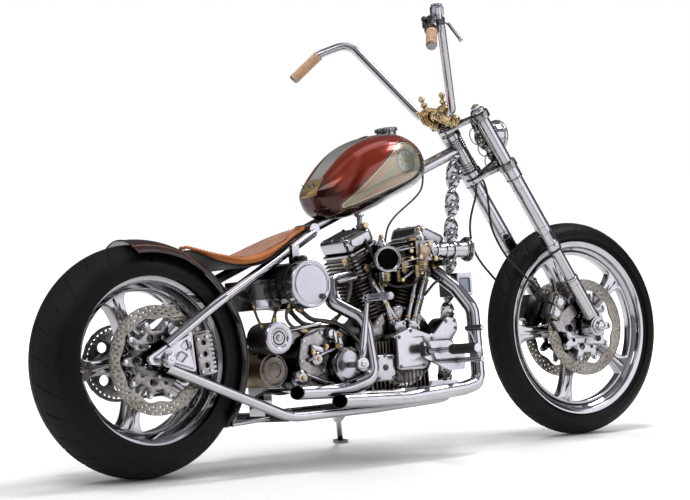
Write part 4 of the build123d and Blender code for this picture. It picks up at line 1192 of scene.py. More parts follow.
def halved(shape, sign):
    work = bmesh.new()
    verts = [work.verts.new(p) for p in shape[0]]
    for loop in shape[1]:
        if len(set(loop)) > 2:
            work.faces.new([verts[k] for k in loop])
    bmesh.ops.remove_doubles(work, verts=work.verts, dist=0.01)
    cut = bmesh.ops.bisect_plane(work, geom=work.verts[:] + work.edges[:] + work.faces[:],
        plane_co=(crankX + sign * 0.5, 0, 0), plane_no=(sign, 0, 0), clear_inner=True)
    edges = [e for e in cut["geom_cut"] if isinstance(e, bmesh.types.BMEdge)]
    bmesh.ops.holes_fill(work, edges=edges)
    work.verts.index_update()
    result = [tuple(v.co) for v in work.verts], [tuple(v.index for v in f.verts) for f in work.faces]
    work.free()
    return result


def buildBarrels(values):
    barrels, tips, cores, fins, flanges, covers, panels, spots, plugs, brass = ([] for _ in range(10))
    low, high, count = values["barrelLow"], values["barrelHigh"], values["fins"]
    right, left, long = values["headRight"], values["headLeft"], values["headLong"]
    middle, half = (right + left) / 2, (left - right) / 2
    for sign in (-1, 1):
        place = engineFrame(sign)
        pitch = (high - low) / count
        t, r, core = values["finThick"] / 2, values["finRadius"], values["core"]
        profile = [(0, low), (core, low)]
        for k in range(count):
            h = low + pitch * (k + 0.5)
            profile += [(core, h - t), (r - 1.5, h - t), (r, h - t * 0.4), (r, h + t * 0.4),
                (r - 1.5, h + t), (core, h + t)]
        profile += [(core, high), (0, high)]
        barrels.append(halved(movedShape(latheShape(profile, 96), place), sign))
        for k in range(count):
            h = low + pitch * (k + 0.5)
            edge = [(r + 0.25, h - t * 0.5), (r + 0.25, h + t * 0.5), (r - 0.6, h + t * 0.5),
                (r - 0.6, h - t * 0.5)]
            tips.append(halved(movedShape(latheShape(edge, 96, closed=True), place), sign))
        cores.append(([rectangle(long - 9, half - 9, 18)], 76, 2, place @ shift(0, middle, 279)))
        for k in range(values["headFins"]):
            fins.append(([rectangle(long, half, 22)], 4.2, 1.2,
                place @ shift(0, middle, values["headLow"] + k * values["headPitch"])))
        flanges.append(([rectangle(57, half - 3, 25)], 9, 2.4, place @ shift(0, middle, 322.5)))
        covers.append(([rectangle(53, half - 7, 24)], 47, 13, place @ shift(0, middle, 351)))
        panels.append(([rectangle(30, half - 28, 10)], 4, 1.5, place @ shift(0, middle, 374.5)))
        out = place.to_3x3() @ Vector((0, 0, 1))
        for u, v in ((-40, -50), (40, -50), (-40, 50), (40, 50), (-42, 0), (42, 0)):
            spots.append((place @ Vector((u, middle + v, 372)), out))
        plug = place @ Vector((sign * 24, right + 2, 268))
        plugPlace = frameAt(plug, (sign * 0.2, -1, 0.15))
        brass.append(turned([(0, 0), (13, 0), (13, 8), (9, 8), (9, 14), (0, 14)], plugPlace, 6, 0.4))
        plugs.append(turned([(0, 12), (8, 12), (8, 30), (10, 34), (10, 48), (6, 54), (0, 54)], plugPlace, 24))
    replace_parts(pieceOf("barrels", barrels, "finIron", crease=25), "cylinders")
    pieceOf("finTips", tips, "castAlloy", slot="barrel_iron", crease=25)
    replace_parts(plates("headCores", cores, "darkCasting", slot="engine_metal"), "cylinder_heads")
    plates("headFins", fins, "engineAlloy")
    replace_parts(plates("rockerFlanges", flanges, "chromePlate"), "rocker_covers")
    plates("rockerBoxes", covers, "chromePlate")
    plates("rockerPanels", panels, "polishedAlloy", slot="chrome")
    bolts("rockerBolts", spots, 5.5, 5, sides=12)
    pieceOf("plugBases", brass, "brassPolish")
    pieceOf("plugCaps", plugs, "glossBlack")


def buildPushrods():
    collars, brass = [], []
    for sign in (-1, 1):
        place = engineFrame(sign)
        for base, tip in ((14, -22), (38, 8)):
            a = Vector((crankX + sign * base, -86, 388))
            b = place @ Vector((tip, -86, 240))
            along = (b - a).normalized()
            for share, radius, long in ((0.0, 12.5, 15), (0.47, 10.5, 12), (0.86, 11.5, 12)):
                spot = a + (b - a) * share
                collars.append(hoop(8, radius, 0, long, frameAt(spot, along), 28))
            for share in (0.115, 0.40, 0.80):
                spot = a + (b - a) * share
                brass.append(hoop(8, 10.2, 0, 5, frameAt(spot, along), 24))
    pieceOf("pushrodCollars", collars, "chromePlate")
    pieceOf("pushrodRings", brass, "brassPolish")
    blocks = [blockShape((46, 20, 30), 4, shift(crankX + side * 26, -100, 382) @ Matrix.Rotation(side * 0.16,
        4, "Y")) for side in (-1, 1)]
    pieceOf("lifterBlocks", blocks, "chromePlate")
    bolts("lifterBolts", [((crankX + side * x, -110, z), (0, -1, 0)) for side in (-1, 1)
        for x in (11, 41) for z in (373, 391)], 4, 3)


def buildCovers(values):
    cam = roundedOutline(values["camCover"], 14)
    pump = roundedOutline(values["pumpCover"], 6)
    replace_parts(plates("camCover", [([cam], 70, 4.5, rightFace(-105))], "polishedAlloy"), "cam_cover")
    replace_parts(plates("pumpCover", [([pump], 58, 3.5, rightFace(-99))], "polishedAlloy"), "oil_pump")
    bolts("coverBolts", [((x, -139.6, z), (0, -1, 0)) for x, z in values["camBolts"]]
        + [((x, -127.6, z), (0, -1, 0)) for x, z in values["pumpBolts"]], 4.4, 3.2, "chainSteel", sides=12)
    dark = [turned([(0, -4), (15, -4), (15, 5), (12, 7), (0, 7)], rightFace(-128, 820, 226)),
        hoop(0, 9, -2, 4, rightFace(-128, 774, 262), 6)]
    pieceOf("coverPlugs", dark, "glossBlack")
    ribs = [blockShape((5, 9, 62), 1.6, shift(x, -73, 226)) for x in range(776, 972, 15)]
    ribs += [blockShape((5, 9, 44), 1.6, shift(x, -110, 318)) for x in range(744, 806, 12)]
    pieceOf("caseRibs", ribs, "darkCasting", slot="engine_metal")
    edge = [turned([(70, 0), (120, 0), (122, 3), (122, 8), (118, 10), (70, 10)],
        rightFace(-66, crankX, crankZ), 96)]
    pieceOf("caseSeam", edge, "engineAlloy")
    around = [(crankX + 115 * cos(a), -76.5, crankZ + 115 * sin(a)) for a in (k * pi / 9 for k in range(18))]
    bolts("caseBolts", [(p, (0, -1, 0)) for p in around], 5, 4, slot="engine_metal")


carburettor = {
    "sideMouth": (764, -190, 581), "sideAlong": (0.5, 0.866, 0), "frontMouth": (1117, -126, 604),
    "bowls": ((932, -128, 574, 24), (810, -104, 546, 21)),
    "dashpots": ((932, -128, 632, 22), (812, -100, 614, 20)),
}


def buildCarburettors(values):
    side = frameAt(values["sideMouth"], values["sideAlong"], (0, 0, 1))
    front = frameAt(values["frontMouth"], (-1, 0, 0), (0, 0, 1))
    lip = [(31, 34), (31, -1), (34, -3), (38.5, -2), (40, 2), (38.8, 6), (36.7, 9), (36.7, 34)]
    band = [(31, 44), (36.7, 36), (37.6, 37), (37.6, 43), (36.7, 44)]
    bell = [(17, 20), (20, 4), (26, -3), (36, -4), (38.5, -2), (38, 2), (30, 5), (26, 12), (25, 52),
        (28, 54), (28, 64), (22, 66), (22, 80), (25, 82), (25, 92), (21.4, 94), (21.4, 120), (24, 121),
        (24, 128), (21.4, 129)]
    pieceOf("trumpets", [turned(lip, side, 64), turned(band, side, 48), turned(bell, front, 64)],
        "chromePlate")
    # painted shade: dark cups inside the trumpet mouths stand in for the shade down the bores
    dark = [turned([(0, 40), (30.7, 40), (30.7, 1), (30.0, 1), (30.0, 39), (0, 39)], side, 48, 0.1),
        turned([(0, 60), (16.8, 60), (16.8, 6), (16.2, 6), (16.2, 59), (0, 59)], front, 40, 0.1)]
    pieceOf("trumpetBores", dark, "boreShadeBlack")
    brass, chrome, cast = [], [], []
    for x, y, z, r in values["bowls"]:
        place = frameAt((x, y, z), (0, 0, -1))
        cast.append(turned([(0, -4), (r + 2, -4), (r + 2, 4), (r, 6), (r, 26), (r * 0.7, 32), (0, 34)],
            place, 40, 2))
        brass.append(turned([(0, 30), (8, 30), (8, 40), (5, 43), (0, 43)], place, 6, 0.4))
        brass.append(hoop(r, r + 1.6, 9, 13, place, 40, 0.3))
    for x, y, z, r in values["dashpots"]:
        place = frameAt((x, y, z))
        chrome.append(turned([(0, -4), (r, -4), (r, 14), (r * 0.7, 20), (r * 0.45, 32), (0, 34)], place, 40,
            2))
        brass.append(turned([(0, 32), (7, 32), (7, 42), (4, 45), (0, 45)], place, 12, 0.4))
    # levers, links, unions and their nuts
    links = (((792, -134, 600), (948, -158, 622), 2.6), ((800, -134, 560), (912, -158, 584), 2.2),
        ((948, -158, 622), (966, -160, 578), 2.6), ((792, -134, 600), (796, -136, 552), 2.6),
        ((838, -112, 606), (898, -130, 622), 6.0), ((838, -120, 556), (900, -134, 560), 5.0),
        ((966, -130, 590), (1010, -126, 596), 13.0), ((860, -126, 520), (905, -140, 552), 4.0),
        ((770, -150, 548), (786, -128, 520), 5.0))
    chrome += [rodShape(a, b, r) for a, b, r in links]
    nuts = ((792, -136, 600), (948, -160, 622), (966, -162, 578), (796, -138, 552), (912, -158, 584),
        (800, -136, 560), (838, -124, 606), (898, -140, 622), (905, -142, 552), (860, -128, 520),
        (884, -150, 604), (884, -150, 582))
    for x, y, z in nuts:
        brass.append(turned([(0, -5), (7.5, -5), (7.5, 3), (5, 5), (0, 5)], rightFace(y, x, z), 6, 0.3))
    for x, y, z, r in ((856, -118, 580, 17), (982, -134, 604, 19), (840, -112, 560, 14)):
        brass.append(turned([(0, -8), (r, -8), (r + 1.5, -6), (r + 1.5, 4), (r * 0.6, 8), (0, 8)],
            rightFace(y, x, z), 28))
    for x, y, z, w, d, h in ((932, -150, 604, 44, 16, 40), (810, -126, 582, 40, 14, 44),
            (872, -122, 566, 30, 20, 46), (900, -132, 640, 30, 22, 12)):
        cast.append(blockShape((w, d, h), 3, shift(x, y, z)))
    pieceOf("carbBrass", brass, "brassPolish")
    pieceOf("carbLinks", chrome, "chromePlate")
    pieceOf("carbCastings", cast, "goldCasting")
    bolts("carbScrews", [((x, y, z), (0, -1, 0))
        for x, y, z in ((914, -158, 588), (950, -158, 588), (914, -158, 620), (950, -158, 620),
        (794, -133.4, 564), (826, -133.4, 564), (794, -133.4, 600), (826, -133.4, 600))], 4, 3.5)
    rings("throttleSprings", [[(900, -150, 560), (900, -150, 528)], [(846, -126, 548), (846, -126, 516)]],
        3.2, 6, 1.1, "brassPolish")
    pipes = [tubeShape(p, r) for p, r in ((((768, -70, 668), (762, -96, 630), (786, -112, 560),
        (806, -112, 518), (812, -106, 508)), 4.0),
        (((786, -118, 520), (830, -132, 500), (890, -138, 505), (930, -132, 530)), 3.5),
        (((996, -96, 540), (1000, -130, 520), (960, -146, 500), (930, -140, 470)), 4.0),
        (((770, -98, 560), (748, -120, 530), (752, -124, 480), (772, -118, 430)), 3.5))]
    pieceOf("fuelPipes", pipes, "hoseRubber")


metalFinish("darkCasting", (0.045, 0.036, 0.028), (0.30, 0.26, 0.22), 0.18, 0.38, scale=18.0,
    bumpDepth=0.0002)
metalFinish("goldCasting", (0.16, 0.10, 0.045), (0.74, 0.62, 0.42), 0.12, 0.3, scale=26.0, amount=2.4)
# near-black rough finish that paints the shade inside the trumpet bores
Finish("boreShadeBlack", (0.002, 0.002, 0.002), roughness=0.9).rough(0.8, 1.0)
buildBarrels(engine)
buildPushrods()
buildCovers(engine)
buildCarburettors(carburettor)
print("engine built")


# Around the gearbox

def buildGearboxSide():
    tankEnd = wheelFrame((510, 0, 520))
    disc = [turned([(0, -152), (54, -152), (58, -150.6), (60, -148.6), (62, -151.8), (67, -151.8),
        (69.4, -149), (69.4, -138), (68.2, -137), (60, -137), (0, -137)], tankEnd, 96)]
    pieceOf("oilTankFace", disc, "satinAlloy")
    straps = [hoop(67, 70.4, y, y + 14, tankEnd, 96) for y in (-112, 20)]
    pieceOf("oilTankStraps", straps, "glossBlack")
    small = [turned([(0, 0), (9, 0), (9, 7), (6, 9), (0, 9)], rightFace(-151, 546, 482), 24),
        turned([(0, 0), (13, 0), (13, 16), (9, 22), (0, 22)], frameAt((520, -100, 584), (0.2, 0, 1)), 24)]
    small += [blockShape((92, 8, 60), 3, shift(398, -69, 500)),
        blockShape((40, 20, 22), 3, shift(428, -74, 470))]
    pieceOf("electricsTrim", small, "glossBlack")
    pieceOf("electricsCover", [blockShape((84, 10, 30), 3, shift(404, -72, 470))], "satinAlloy")
    # starter: bright ring round a dark hub
    starter = wheelFrame((392, 0, 370))
    ring = [turned([(27, -134), (27, -141), (30, -144), (43, -144), (46.8, -140), (46.8, -128), (27, -128)],
        starter, 72), turned([(0, -136), (10, -136), (10, -145), (6, -147), (0, -147)], starter, 6)]
    hub = [turned([(0, -133), (26, -133), (26, -139), (17, -141), (17, -139), (0, -139)], starter, 48)]
    for k in range(5):
        y = -124 + k * 16
        hub.append(hoop(45.6, 47.4, y, y + 9, starter, 64))
    pieceOf("starterRing", ring, "satinAlloy")
    pieceOf("starterHub", hub, "glossBlack")
    # kick cover: bright disc with its screws
    cap = [turned([(0, -144), (40, -143.6), (45, -142), (45.6, -140), (49, -141.5), (52.8, -138),
        (52.8, -112), (45, -112)], wheelFrame((632, 0, 278)), 72)]
    pieceOf("kickCover", cap, "satinAlloy")
    around = [(632 + 48.6 * cos(a), -140.6, 278 + 48.6 * sin(a))
        for a in (k * pi / 3 + 0.3 for k in range(6))]
    bolts("kickBolts", [(p, (0, -1, 0)) for p in around], 4.2, 3.4, "chainSteel", sides=12)
    cover = [([roundedOutline([(486, 236), (470, 300), (486, 366), (560, 388), (598, 356), (584, 316),
        (560, 258)], 14)], 10, 3, rightFace(-112))]
    plates("gearboxCover", cover, "castAlloy", slot="engine_metal")
    spots = [((x, -116.6, z), (0, -1, 0))
        for x, z in ((492, 246), (480, 300), (492, 356), (556, 378), (588, 352), (556, 268))]
    bolts("gearboxBolts", spots, 5, 4, slot="engine_metal")
    bits = [blockShape((60, 22, 16), 3, shift(540, -118, 330) @ Matrix.Rotation(0.3, 4, "Y")),
        blockShape((26, 18, 54), 3, shift(604, -126, 352) @ Matrix.Rotation(-0.35, 4, "Y")),
        rodShape((500, -124, 300), (596, -128, 330), 5), rodShape((470, -112, 270), (560, -122, 232), 6),
        rodShape((560, -122, 232), (640, -130, 212), 6), rodShape((452, -100, 392), (560, -112, 404), 7),
        turned([(0, 0), (20, 0), (20, 14), (12, 18), (0, 18)], rightFace(-114, 532, 302), 40),
        turned([(0, 0), (24, 0), (24, 20), (14, 26), (0, 26)], rightFace(-98, 478, 250), 40),
        hoop(0, 13, 0, 20, rightFace(-114, 584, 372), 24)]
    pieceOf("gearboxLevers", bits, "chromePlate")
    spots = [((x, y, z), (0, -1, 0)) for x, y, z in ((516, -129, 322), (564, -129, 336), (532, -132, 302),
        (478, -124, 250), (598, -136, 336), (610, -136, 368))]
    bolts("leverBolts", spots, 6, 5, "brassPolish")
    can = wheelFrame((396, 0, 278))
    bands = [hoop(45, 47.6, y, y + 5, can, 72) for y in range(-92, 20, 11)]
    pieceOf("canBands", bands, "goldCasting", slot="chrome")
    face = [turned([(0, -98), (20, -98), (22, -101), (38, -101), (42, -98), (47, -95), (47, -90), (0, -90)],
        can, 64)]
    pieceOf("canFace", face, "darkCasting")
    # oil pipes with their unions
    routes = ((((520, -60, 454), (548, -84, 420), (590, -96, 410), (640, -98, 396), (700, -92, 350),
        (742, -96, 296)), 7), (((498, -40, 454), (520, -76, 410), (574, -84, 396), (650, -84, 372),
        (716, -88, 318), (748, -96, 262)), 7),
        (((470, -90, 470), (452, -96, 430), (470, -100, 400), (512, -104, 384)), 5),
        (((440, -70, 460), (410, -100, 440), (402, -104, 418)), 5),
        (((640, -66, 408), (676, -80, 450), (700, -84, 520), (690, -76, 590)), 6),
        (((360, -64, 470), (352, -96, 430), (362, -104, 400)), 4))
    pieceOf("oilPipes", [tubeShape(p, r) for p, r in routes], "braided")
    unions = []
    for points, r in routes:
        for a, b in ((points[0], points[1]), (points[-1], points[-2])):
            place = frameAt(a, Vector(b) - Vector(a), (0, 1, 0.1))
            unions.append(turned([(0, -4), (r + 3, -4), (r + 3, 8), (r + 1.4, 10), (r + 1.4, 18), (0, 18)],
                place, 6, 0.3))
    pieceOf("oilUnions", unions, "brassPolish")
    shell = [hoop(46, 47.5, y, y + 3, can, 64) for y in (30, 60)]
    pieceOf("canRings", shell, "chromePlate")


metalFinish("satinAlloy", (0.60, 0.58, 0.63), (0.74, 0.73, 0.79), 0.16, 0.28, scale=6.0)
metalFinish("slateAlloy", (0.20, 0.22, 0.28), (0.34, 0.37, 0.45), 0.2, 0.34, scale=20.0)
metalFinish("braided", (0.05, 0.045, 0.04), (0.34, 0.30, 0.26), 0.3, 0.45, scale=120.0, bumpDepth=0.0004)
buildGearboxSide()
print("gearbox side built")


# Copies of one shape at places that carry their own directions

def copyTree():
    tree, start, realize = geometryTree("copiesAtPlaces",
        [("Shape", "NodeSocketObject", None), ("Material", "NodeSocketMaterial", None)])
    new, link = tree.nodes.new, tree.links.new
    shape = new("GeometryNodeObjectInfo")
    link(start.outputs["Shape"], shape.inputs["Object"])
    turns = []
    for label, axis in (("ahead", "X"), ("facing", "Z")):
        given = new("GeometryNodeInputNamedAttribute")
        given.data_type = "FLOAT_VECTOR"
        given.inputs["Name"].default_value = label
        align = new("FunctionNodeAlignRotationToVector")
        align.axis = axis
        link(given.outputs["Attribute"], align.inputs["Vector"])
        if turns:
            align.pivot_axis = "X"
            link(turns[-1].outputs[0], align.inputs["Rotation"])
        turns.append(align)
    copies = new("GeometryNodeInstanceOnPoints")
    link(start.outputs["Geometry"], copies.inputs["Points"])
    link(shape.outputs["Geometry"], copies.inputs["Instance"])
    link(turns[-1].outputs[0], copies.inputs["Rotation"])
    link(copies.outputs[0], realize.inputs[0])
    return tree


trees["copies"] = copyTree()


def copied(name, shape, places, body, finishName, slot=None):
    # places: spot, ahead, facing; the shape lies ahead on x with its face on z, in millimetres
    unit = bpy.data.meshes.new(name + "Unit")
    unit.from_pydata([Vector(p) * 0.001 for p in shape[0]], [], shape[1])
    holder = newObject(name + "Unit", unit)
    mesh = bpy.data.meshes.new(name)
    mesh.from_pydata([bikeToRow @ Vector(spot) for spot, _, _ in places], [], [])
    turn = bikeToRow.to_3x3().normalized()
    for label, number in (("ahead", 1), ("facing", 2)):
        layer = mesh.attributes.new(label, "FLOAT_VECTOR", "POINT")
        for item, place in zip(layer.data, places):
            item.vector = turn @ Vector(place[number]).normalized()
    piece = grown(name, trees["copies"], mesh, {"Shape": holder}, body, finishName, slot)
    bpy.data.objects.remove(holder)
    return piece


# Rear axle plates, calipers, chain and fender edge

def buildRearDetails():
    overlay = [(-46, rearAxle + 6), (12, rearAxle + 38), (78, rearAxle + 66), (85, rearAxle - 33),
        (22, rearAxle - 12), (-40, rearAxle - 8)]
    diamonds = [[(x - 20, z - 4), (x, z + 15), (x + 18, z + 4), (x - 2, z - 15)]
        for x, z in ((62, rearAxle + 36), (46, rearAxle + 4))]
    outline = [roundedOutline(overlay, 6)] + [roundedOutline(d, 2, 3) for d in diamonds]
    shapes = [(outline, 5, 1.4, rightFace(side * 166.4)) for side in (-1, 1)]
    plates("gussetFrames", shapes, "chromePlate", slot="polished")
    nuts = []
    for side in (-1, 1):
        place = frameAt((0, side * 168, rearAxle), (0, side, 0))
        nuts.append(hoop(0, 23, 0, 5, place, 48))
        nuts.append(turned([(0, 5), (18, 5), (18, 17), (13, 20), (0, 22)], place, 6, 0.5))
    pieceOf("rearAxleNuts", nuts, "chromePlate")
    # toothed cover of the rear caliper
    teeth = [(-26, -58), (18, -58)]
    for k in range(9):
        z = -52 + k * 12.6
        teeth += [(24, z - 4), (34, z - 3), (34, z + 3.4), (24, z + 4.4)]
    teeth += [(18, 60), (-26, 58)]
    place = rightFace(-155, 126, rearAxle + 6) @ Matrix.Rotation(radians(6), 4, "Z")
    holes = [circleOutline(7, 20, (2, z)) for z in (-30, 2, 34)]
    plates("rearCaliperCover", [([roundedOutline(teeth, 2.4, 2)] + holes, 8, 2, place)], "castAlloy")
    spots = [(place @ Vector((u, v, 3)), (0, -1, 0)) for u, v in ((-16, -46), (-16, 0), (-16, 46), (12, -46),
        (12, 48))]
    bolts("rearCaliperBolts", spots, 5, 5)
    # chain links round both sprockets, and the toothed sprocket
    chain = {"pitch": 15.875, "side": 113, "rear": (0, rearAxle, 106.4), "front": (560, 300, 44.4)}
    (ax, az, ar), (bx, bz, br) = chain["rear"], chain["front"]
    heading = atan2(bz - az, bx - ax)
    turn = acos((ar - br) / hypot(bx - ax, bz - az))
    path = [polar(ar, a, ax, az) for a in (heading + turn + (2 * pi - 2 * turn) * k / 60 for k in range(61))]
    path += [polar(br, a, bx, bz) for a in (heading - turn + 2 * turn * k / 30 for k in range(31))]
    path = [Vector((x, 0, z)) for x, z in path]
    lengths = [0.0]
    for a, b in zip(path, path[1:] + path[:1]):
        lengths.append(lengths[-1] + (b - a).length)
    count = 2 * round(lengths[-1] / chain["pitch"] / 2)
    places = []
    for k in range(count):
        reach = lengths[-1] * k / count
        j = max(i for i in range(len(path)) if lengths[i] <= reach)
        a, b = path[j], path[(j + 1) % len(path)]
        spot = a + (b - a) * ((reach - lengths[j]) / max(lengths[j + 1] - lengths[j], 1e-6))
        places.append((Vector((spot.x, chain["side"], spot.z)), b - a, (0, 1, 0)))
    half = chain["pitch"] / 2
    waist = [(1.5 * half * cos(a), 5.6 * sin(a) * (0.72 + 0.28 * abs(cos(a)))) for a in spread(16)]
    for number, side in enumerate((6.6, 4.4)):
        flat = [movedShape(plateShape([waist], 1.8, 0.5, 1), shift(0, 0, z)) for z in (-side, side)]
        pins = [movedShape(latheShape([(0, -side - 1.2), (2.6, -side - 1.2), (2.6, side + 1.2),
            (0, side + 1.2)], 10), shift(x, 0, 0)) for x in (-half, half)]
        rollers = [movedShape(latheShape([(0, -3.6), (4.8, -3.6), (4.8, 3.6), (0, 3.6)], 12), shift(x, 0, 0))
            for x in (-half, half)] if number else []
        made = copied(f"chainLinks{number}", joinShapes(*flat, *pins, *rollers), places[number::2],
            "chassis", "chainSteel", "chain_steel")
        if not number:
            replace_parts(made, "drive_chain")
    rim = []
    for k in range(40 * 4):
        a = 2 * pi * k / 160
        r = 96 if k % 4 in (0, 1) else 101.5
        rim.append(polar(r, a))
    windows = [circleOutline(15, 24, polar(66, a)) for a in spread(8)]
    place = wheelFrame(rearWheel["centre"]) @ shift(0, 0, 113)
    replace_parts(plates("sprocketWheel", [([rim, circleOutline(30, 48)] + windows, 6, 1, place)], "castAlloy",
        "rear_wheel", slot="chain_steel"), "rear_sprocket")
    back = wheelFrame(rearWheel["centre"])
    collar = [turned([(14, 93), (44, 93), (44, 116), (30, 118), (14, 118)], back, 64)]
    pieceOf("sprocketCollar", collar, "chromePlate", "rear_wheel", slot="chain_steel")
    spots = [(back @ Vector((42 * cos(a), 42 * sin(a), 116)), (0, 1, 0)) for a in spread(5)]
    bolts("sprocketBolts", spots, 6, 5, body="rear_wheel", slot="chain_steel")
    # rolled edges of the fender
    bead = []
    for side in (-1, 1):
        arc = [(306.5 * sin(a), side * 101, rearAxle + 306.5 * cos(a))
            for a in (radians(-6 + 133 * k / 48) for k in range(49))]
        bead.append(sweepShape(arc, circleOutline(2.6, 10)))
    lip = [(r * sin(radians(-6)), y, rearAxle + r * cos(radians(-6)))
        for y, r in ((y, 195.5 + sqrt(150 ** 2 - y * y) - 0.8)
        for y in (-101 + 202 * k / 24 for k in range(25)))]
    bead.append(sweepShape(lip, circleOutline(2.6, 10)))
    pieceOf("fenderBead", bead, "maroonPaint")


def buildFrontCalipers():
    cast, caps, spots = [], [], []
    for side in (-1, 1):
        middle = Vector((1506, side * 78, 410.4))
        along = Vector((0.469, 0, 0.883))
        place = frameAt(middle, (0, side, 0), along)
        cast.append(movedShape(plateShape([rectangle(40, 22, 9)], 8, 2), place @ shift(0, 0, 3)))
        for u in (-19, 19):
            caps.append(turned([(0, 4), (16, 4), (16, 9), (12, 12), (0, 12)], place @ shift(u, 0, 0), 32))
        for u, v in ((-36, -16), (-36, 16), (36, -16), (36, 16), (0, -17), (0, 17)):
            spots.append((place @ Vector((u, v, 6)), (0, side, 0)))
        nut = frameAt((frontAxle.x, side * 124, frontAxle.z), (0, side, 0))
        caps.append(hoop(0, 24, 0, 4, nut, 40))
        caps.append(turned([(0, 4), (15, 4), (15, 16), (11, 21), (0, 22)], nut, 6, 0.5))
    pieceOf("frontCaliperCovers", cast, "castAlloy", "steering")
    pieceOf("frontCaliperCaps", caps, "chromePlate", "steering")
    bolts("frontCaliperBolts", spots, 4.4, 4, "chainSteel", "steering", slot="chrome")


# Fork, trees, neck and headlamp

forkFrame = tiltedFrame((1222, 0, 917), radians(32))


def forkAt(x, y, z):
    return forkFrame @ Vector((x, y, z))


fork = {"ahead": 60, "half": 100, "top": 97, "upperTree": 82, "lowerTree": -100, "treeThick": 14,
    "clampHigh": 22, "clampRadius": 30.5, "stepAt": -125, "seal": -415, "cast": -535}


def buildFork(values):
    chrome, cast, dark, brass, spots = [], [], [], [], []
    for side in (-1, 1):
        leg = forkFrame @ shift(values["ahead"], side * values["half"], 0)
        top, step, seal, low = values["top"], values["stepAt"], values["seal"], values["cast"]
        chrome.append(turned([(0, top - 2), (23.4, top - 2), (23.4, top + 6), (19, top + 10), (0, top + 10)],
            leg, 48))
        chrome.append(hoop(0, 15, top + 9, top + 20, leg, 6, 0.5))
        brass.append(turned([(0, top + 20), (7, top + 20), (7, top + 25), (0, top + 26)], leg, 20))
        for s, r, tall in ((step + 17, 25.6, 3), (step - 24, 27.6, 3), (step - 60, 24.9, 2),
                (seal + 4, 26.5, 16), (seal + 60, 25, 2.5), (low + 2, 24.6, 6), (low - 20, 24.2, 3),
                (-330, 25, 2.5)):
            chrome.append(hoop(20, r, s, s + tall, leg, 48, 0.8))
        dark.append(hoop(19.5, 22.6, seal - 8, seal + 5, leg, 48, 0.8))
        dark.append(movedShape(plateShape([rectangle(3.4, 17, 3.3)], 2, 0.3),
            leg @ shift(0, side * 24, -366) @ Matrix.Rotation(radians(90), 4, "X")))
        for s in (values["upperTree"], values["lowerTree"]):
            half = values["clampHigh"] / 2
            cast.append(movedShape(latheShape(roundedProfile([(21.6, s - half),
                (values["clampRadius"], s - half), (values["clampRadius"], s + half), (21.6, s + half)],
                2) + [(21.6, s - half)], 64), leg))
            for lift in (-5, 5):
                spots.append((forkAt(values["ahead"] - 26, side * (values["half"] + 12), s + lift),
                    forkFrame.to_3x3() @ Vector((-1, side * 0.4, 0))))
    outline = roundedOutline([(-28, -14), (-28, 14), (-16, 26), (16, 44), (38, 76), (44, 92), (76, 92),
        (74, 74), (54, 44), (46, 20), (46, -20), (54, -44), (74, -74), (76, -92), (44, -92), (38, -76),
        (16, -44), (-16, -26)], 9)
    windows = [roundedOutline([(22, y * 26), (32, y * 26), (50, y * 62), (42, y * 62)], 4) for y in (-1, 1)]
    for name, s in (("upperTree", values["upperTree"]), ("lowerTree", values["lowerTree"])):
        piece = plates(name + "Plate", [([outline] + windows, values["treeThick"], 3,
            forkFrame @ shift(0, 0, s))], "chromePlate", "steering", slot="polished")
        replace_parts(piece, "upper_tree" if name == "upperTree" else "lower_tree")
    pieceOf("legClamps", cast, "castAlloy", "steering")
    chrome.append(hoop(0, 21, 88, 93, forkFrame, 40))
    chrome.append(turned([(0, 93), (17, 93), (17, 104), (12, 107), (0, 108)], forkFrame, 6, 0.5))
    for a, b in ((66.8, 76), (-84.8, -94)):
        chrome.append(turned([(0, a), (26, a), (26, a + (b - a) * 0.35), (22, b), (0, b)], forkFrame, 48,
            0.6))
    pieceOf("legTrim", chrome, "chromePlate", "steering")
    pieceOf("legSeals", dark, "dullBlack", "steering")
    pieceOf("legAdjusters", brass, "brassPolish", "steering")
    bolts("treeBolts", spots, 4.2, 5, body="steering")
    axis = [forkAt(0, 0, s) for s in (14, 60)]
    rings("neckRibs", [axis], 7.4, 25.6, 2.0)
    rings("neckFootRibs", [[forkAt(0, 0, s) for s in (-66, -40)]], 8, 25.4, 1.6, "castAlloy", slot="chrome")
    # ornate twisted stay with its small fittings, inside the right leg
    strands = []
    for phase in (0.0, 2.1, 4.2):
        line = [forkAt(values["ahead"] - 4 + 8 * cos(phase + s * 0.085), -62 + 8 * sin(phase + s * 0.085), s)
            for s in range(-92, 76, 4)]
        strands.append(sweepShape(line, circleOutline(5.2, 10)))
    pieceOf("twistedStay", strands, "darkCasting", "steering")
    small = [ballShape(forkAt(values["ahead"] - 8, -66 + y, s), r)
        for y, s, r in ((0, 40, 13), (6, 8, 11), (-4, -30, 14), (8, -58, 10), (-2, -84, 12), (2, 66, 9))]
    small += [rodShape(forkAt(44, -72, s), forkAt(72, -54, s - 10), 4) for s in (52, 22, -14, -46, -74)]
    pieceOf("stayBalls", small, "chromePlate", "steering")
    loops = []
    for s, r in ((28, 22), (-20, 18), (-70, 20)):
        loops.append(sweepShape([forkAt(34 + r * cos(a), -64, s + r * 1.25 * sin(a)) for a in spread(28)],
            circleOutline(1.6, 8), closedLine=True))
    pieceOf("stayLoops", loops, "chainSteel", "steering", slot="chrome")


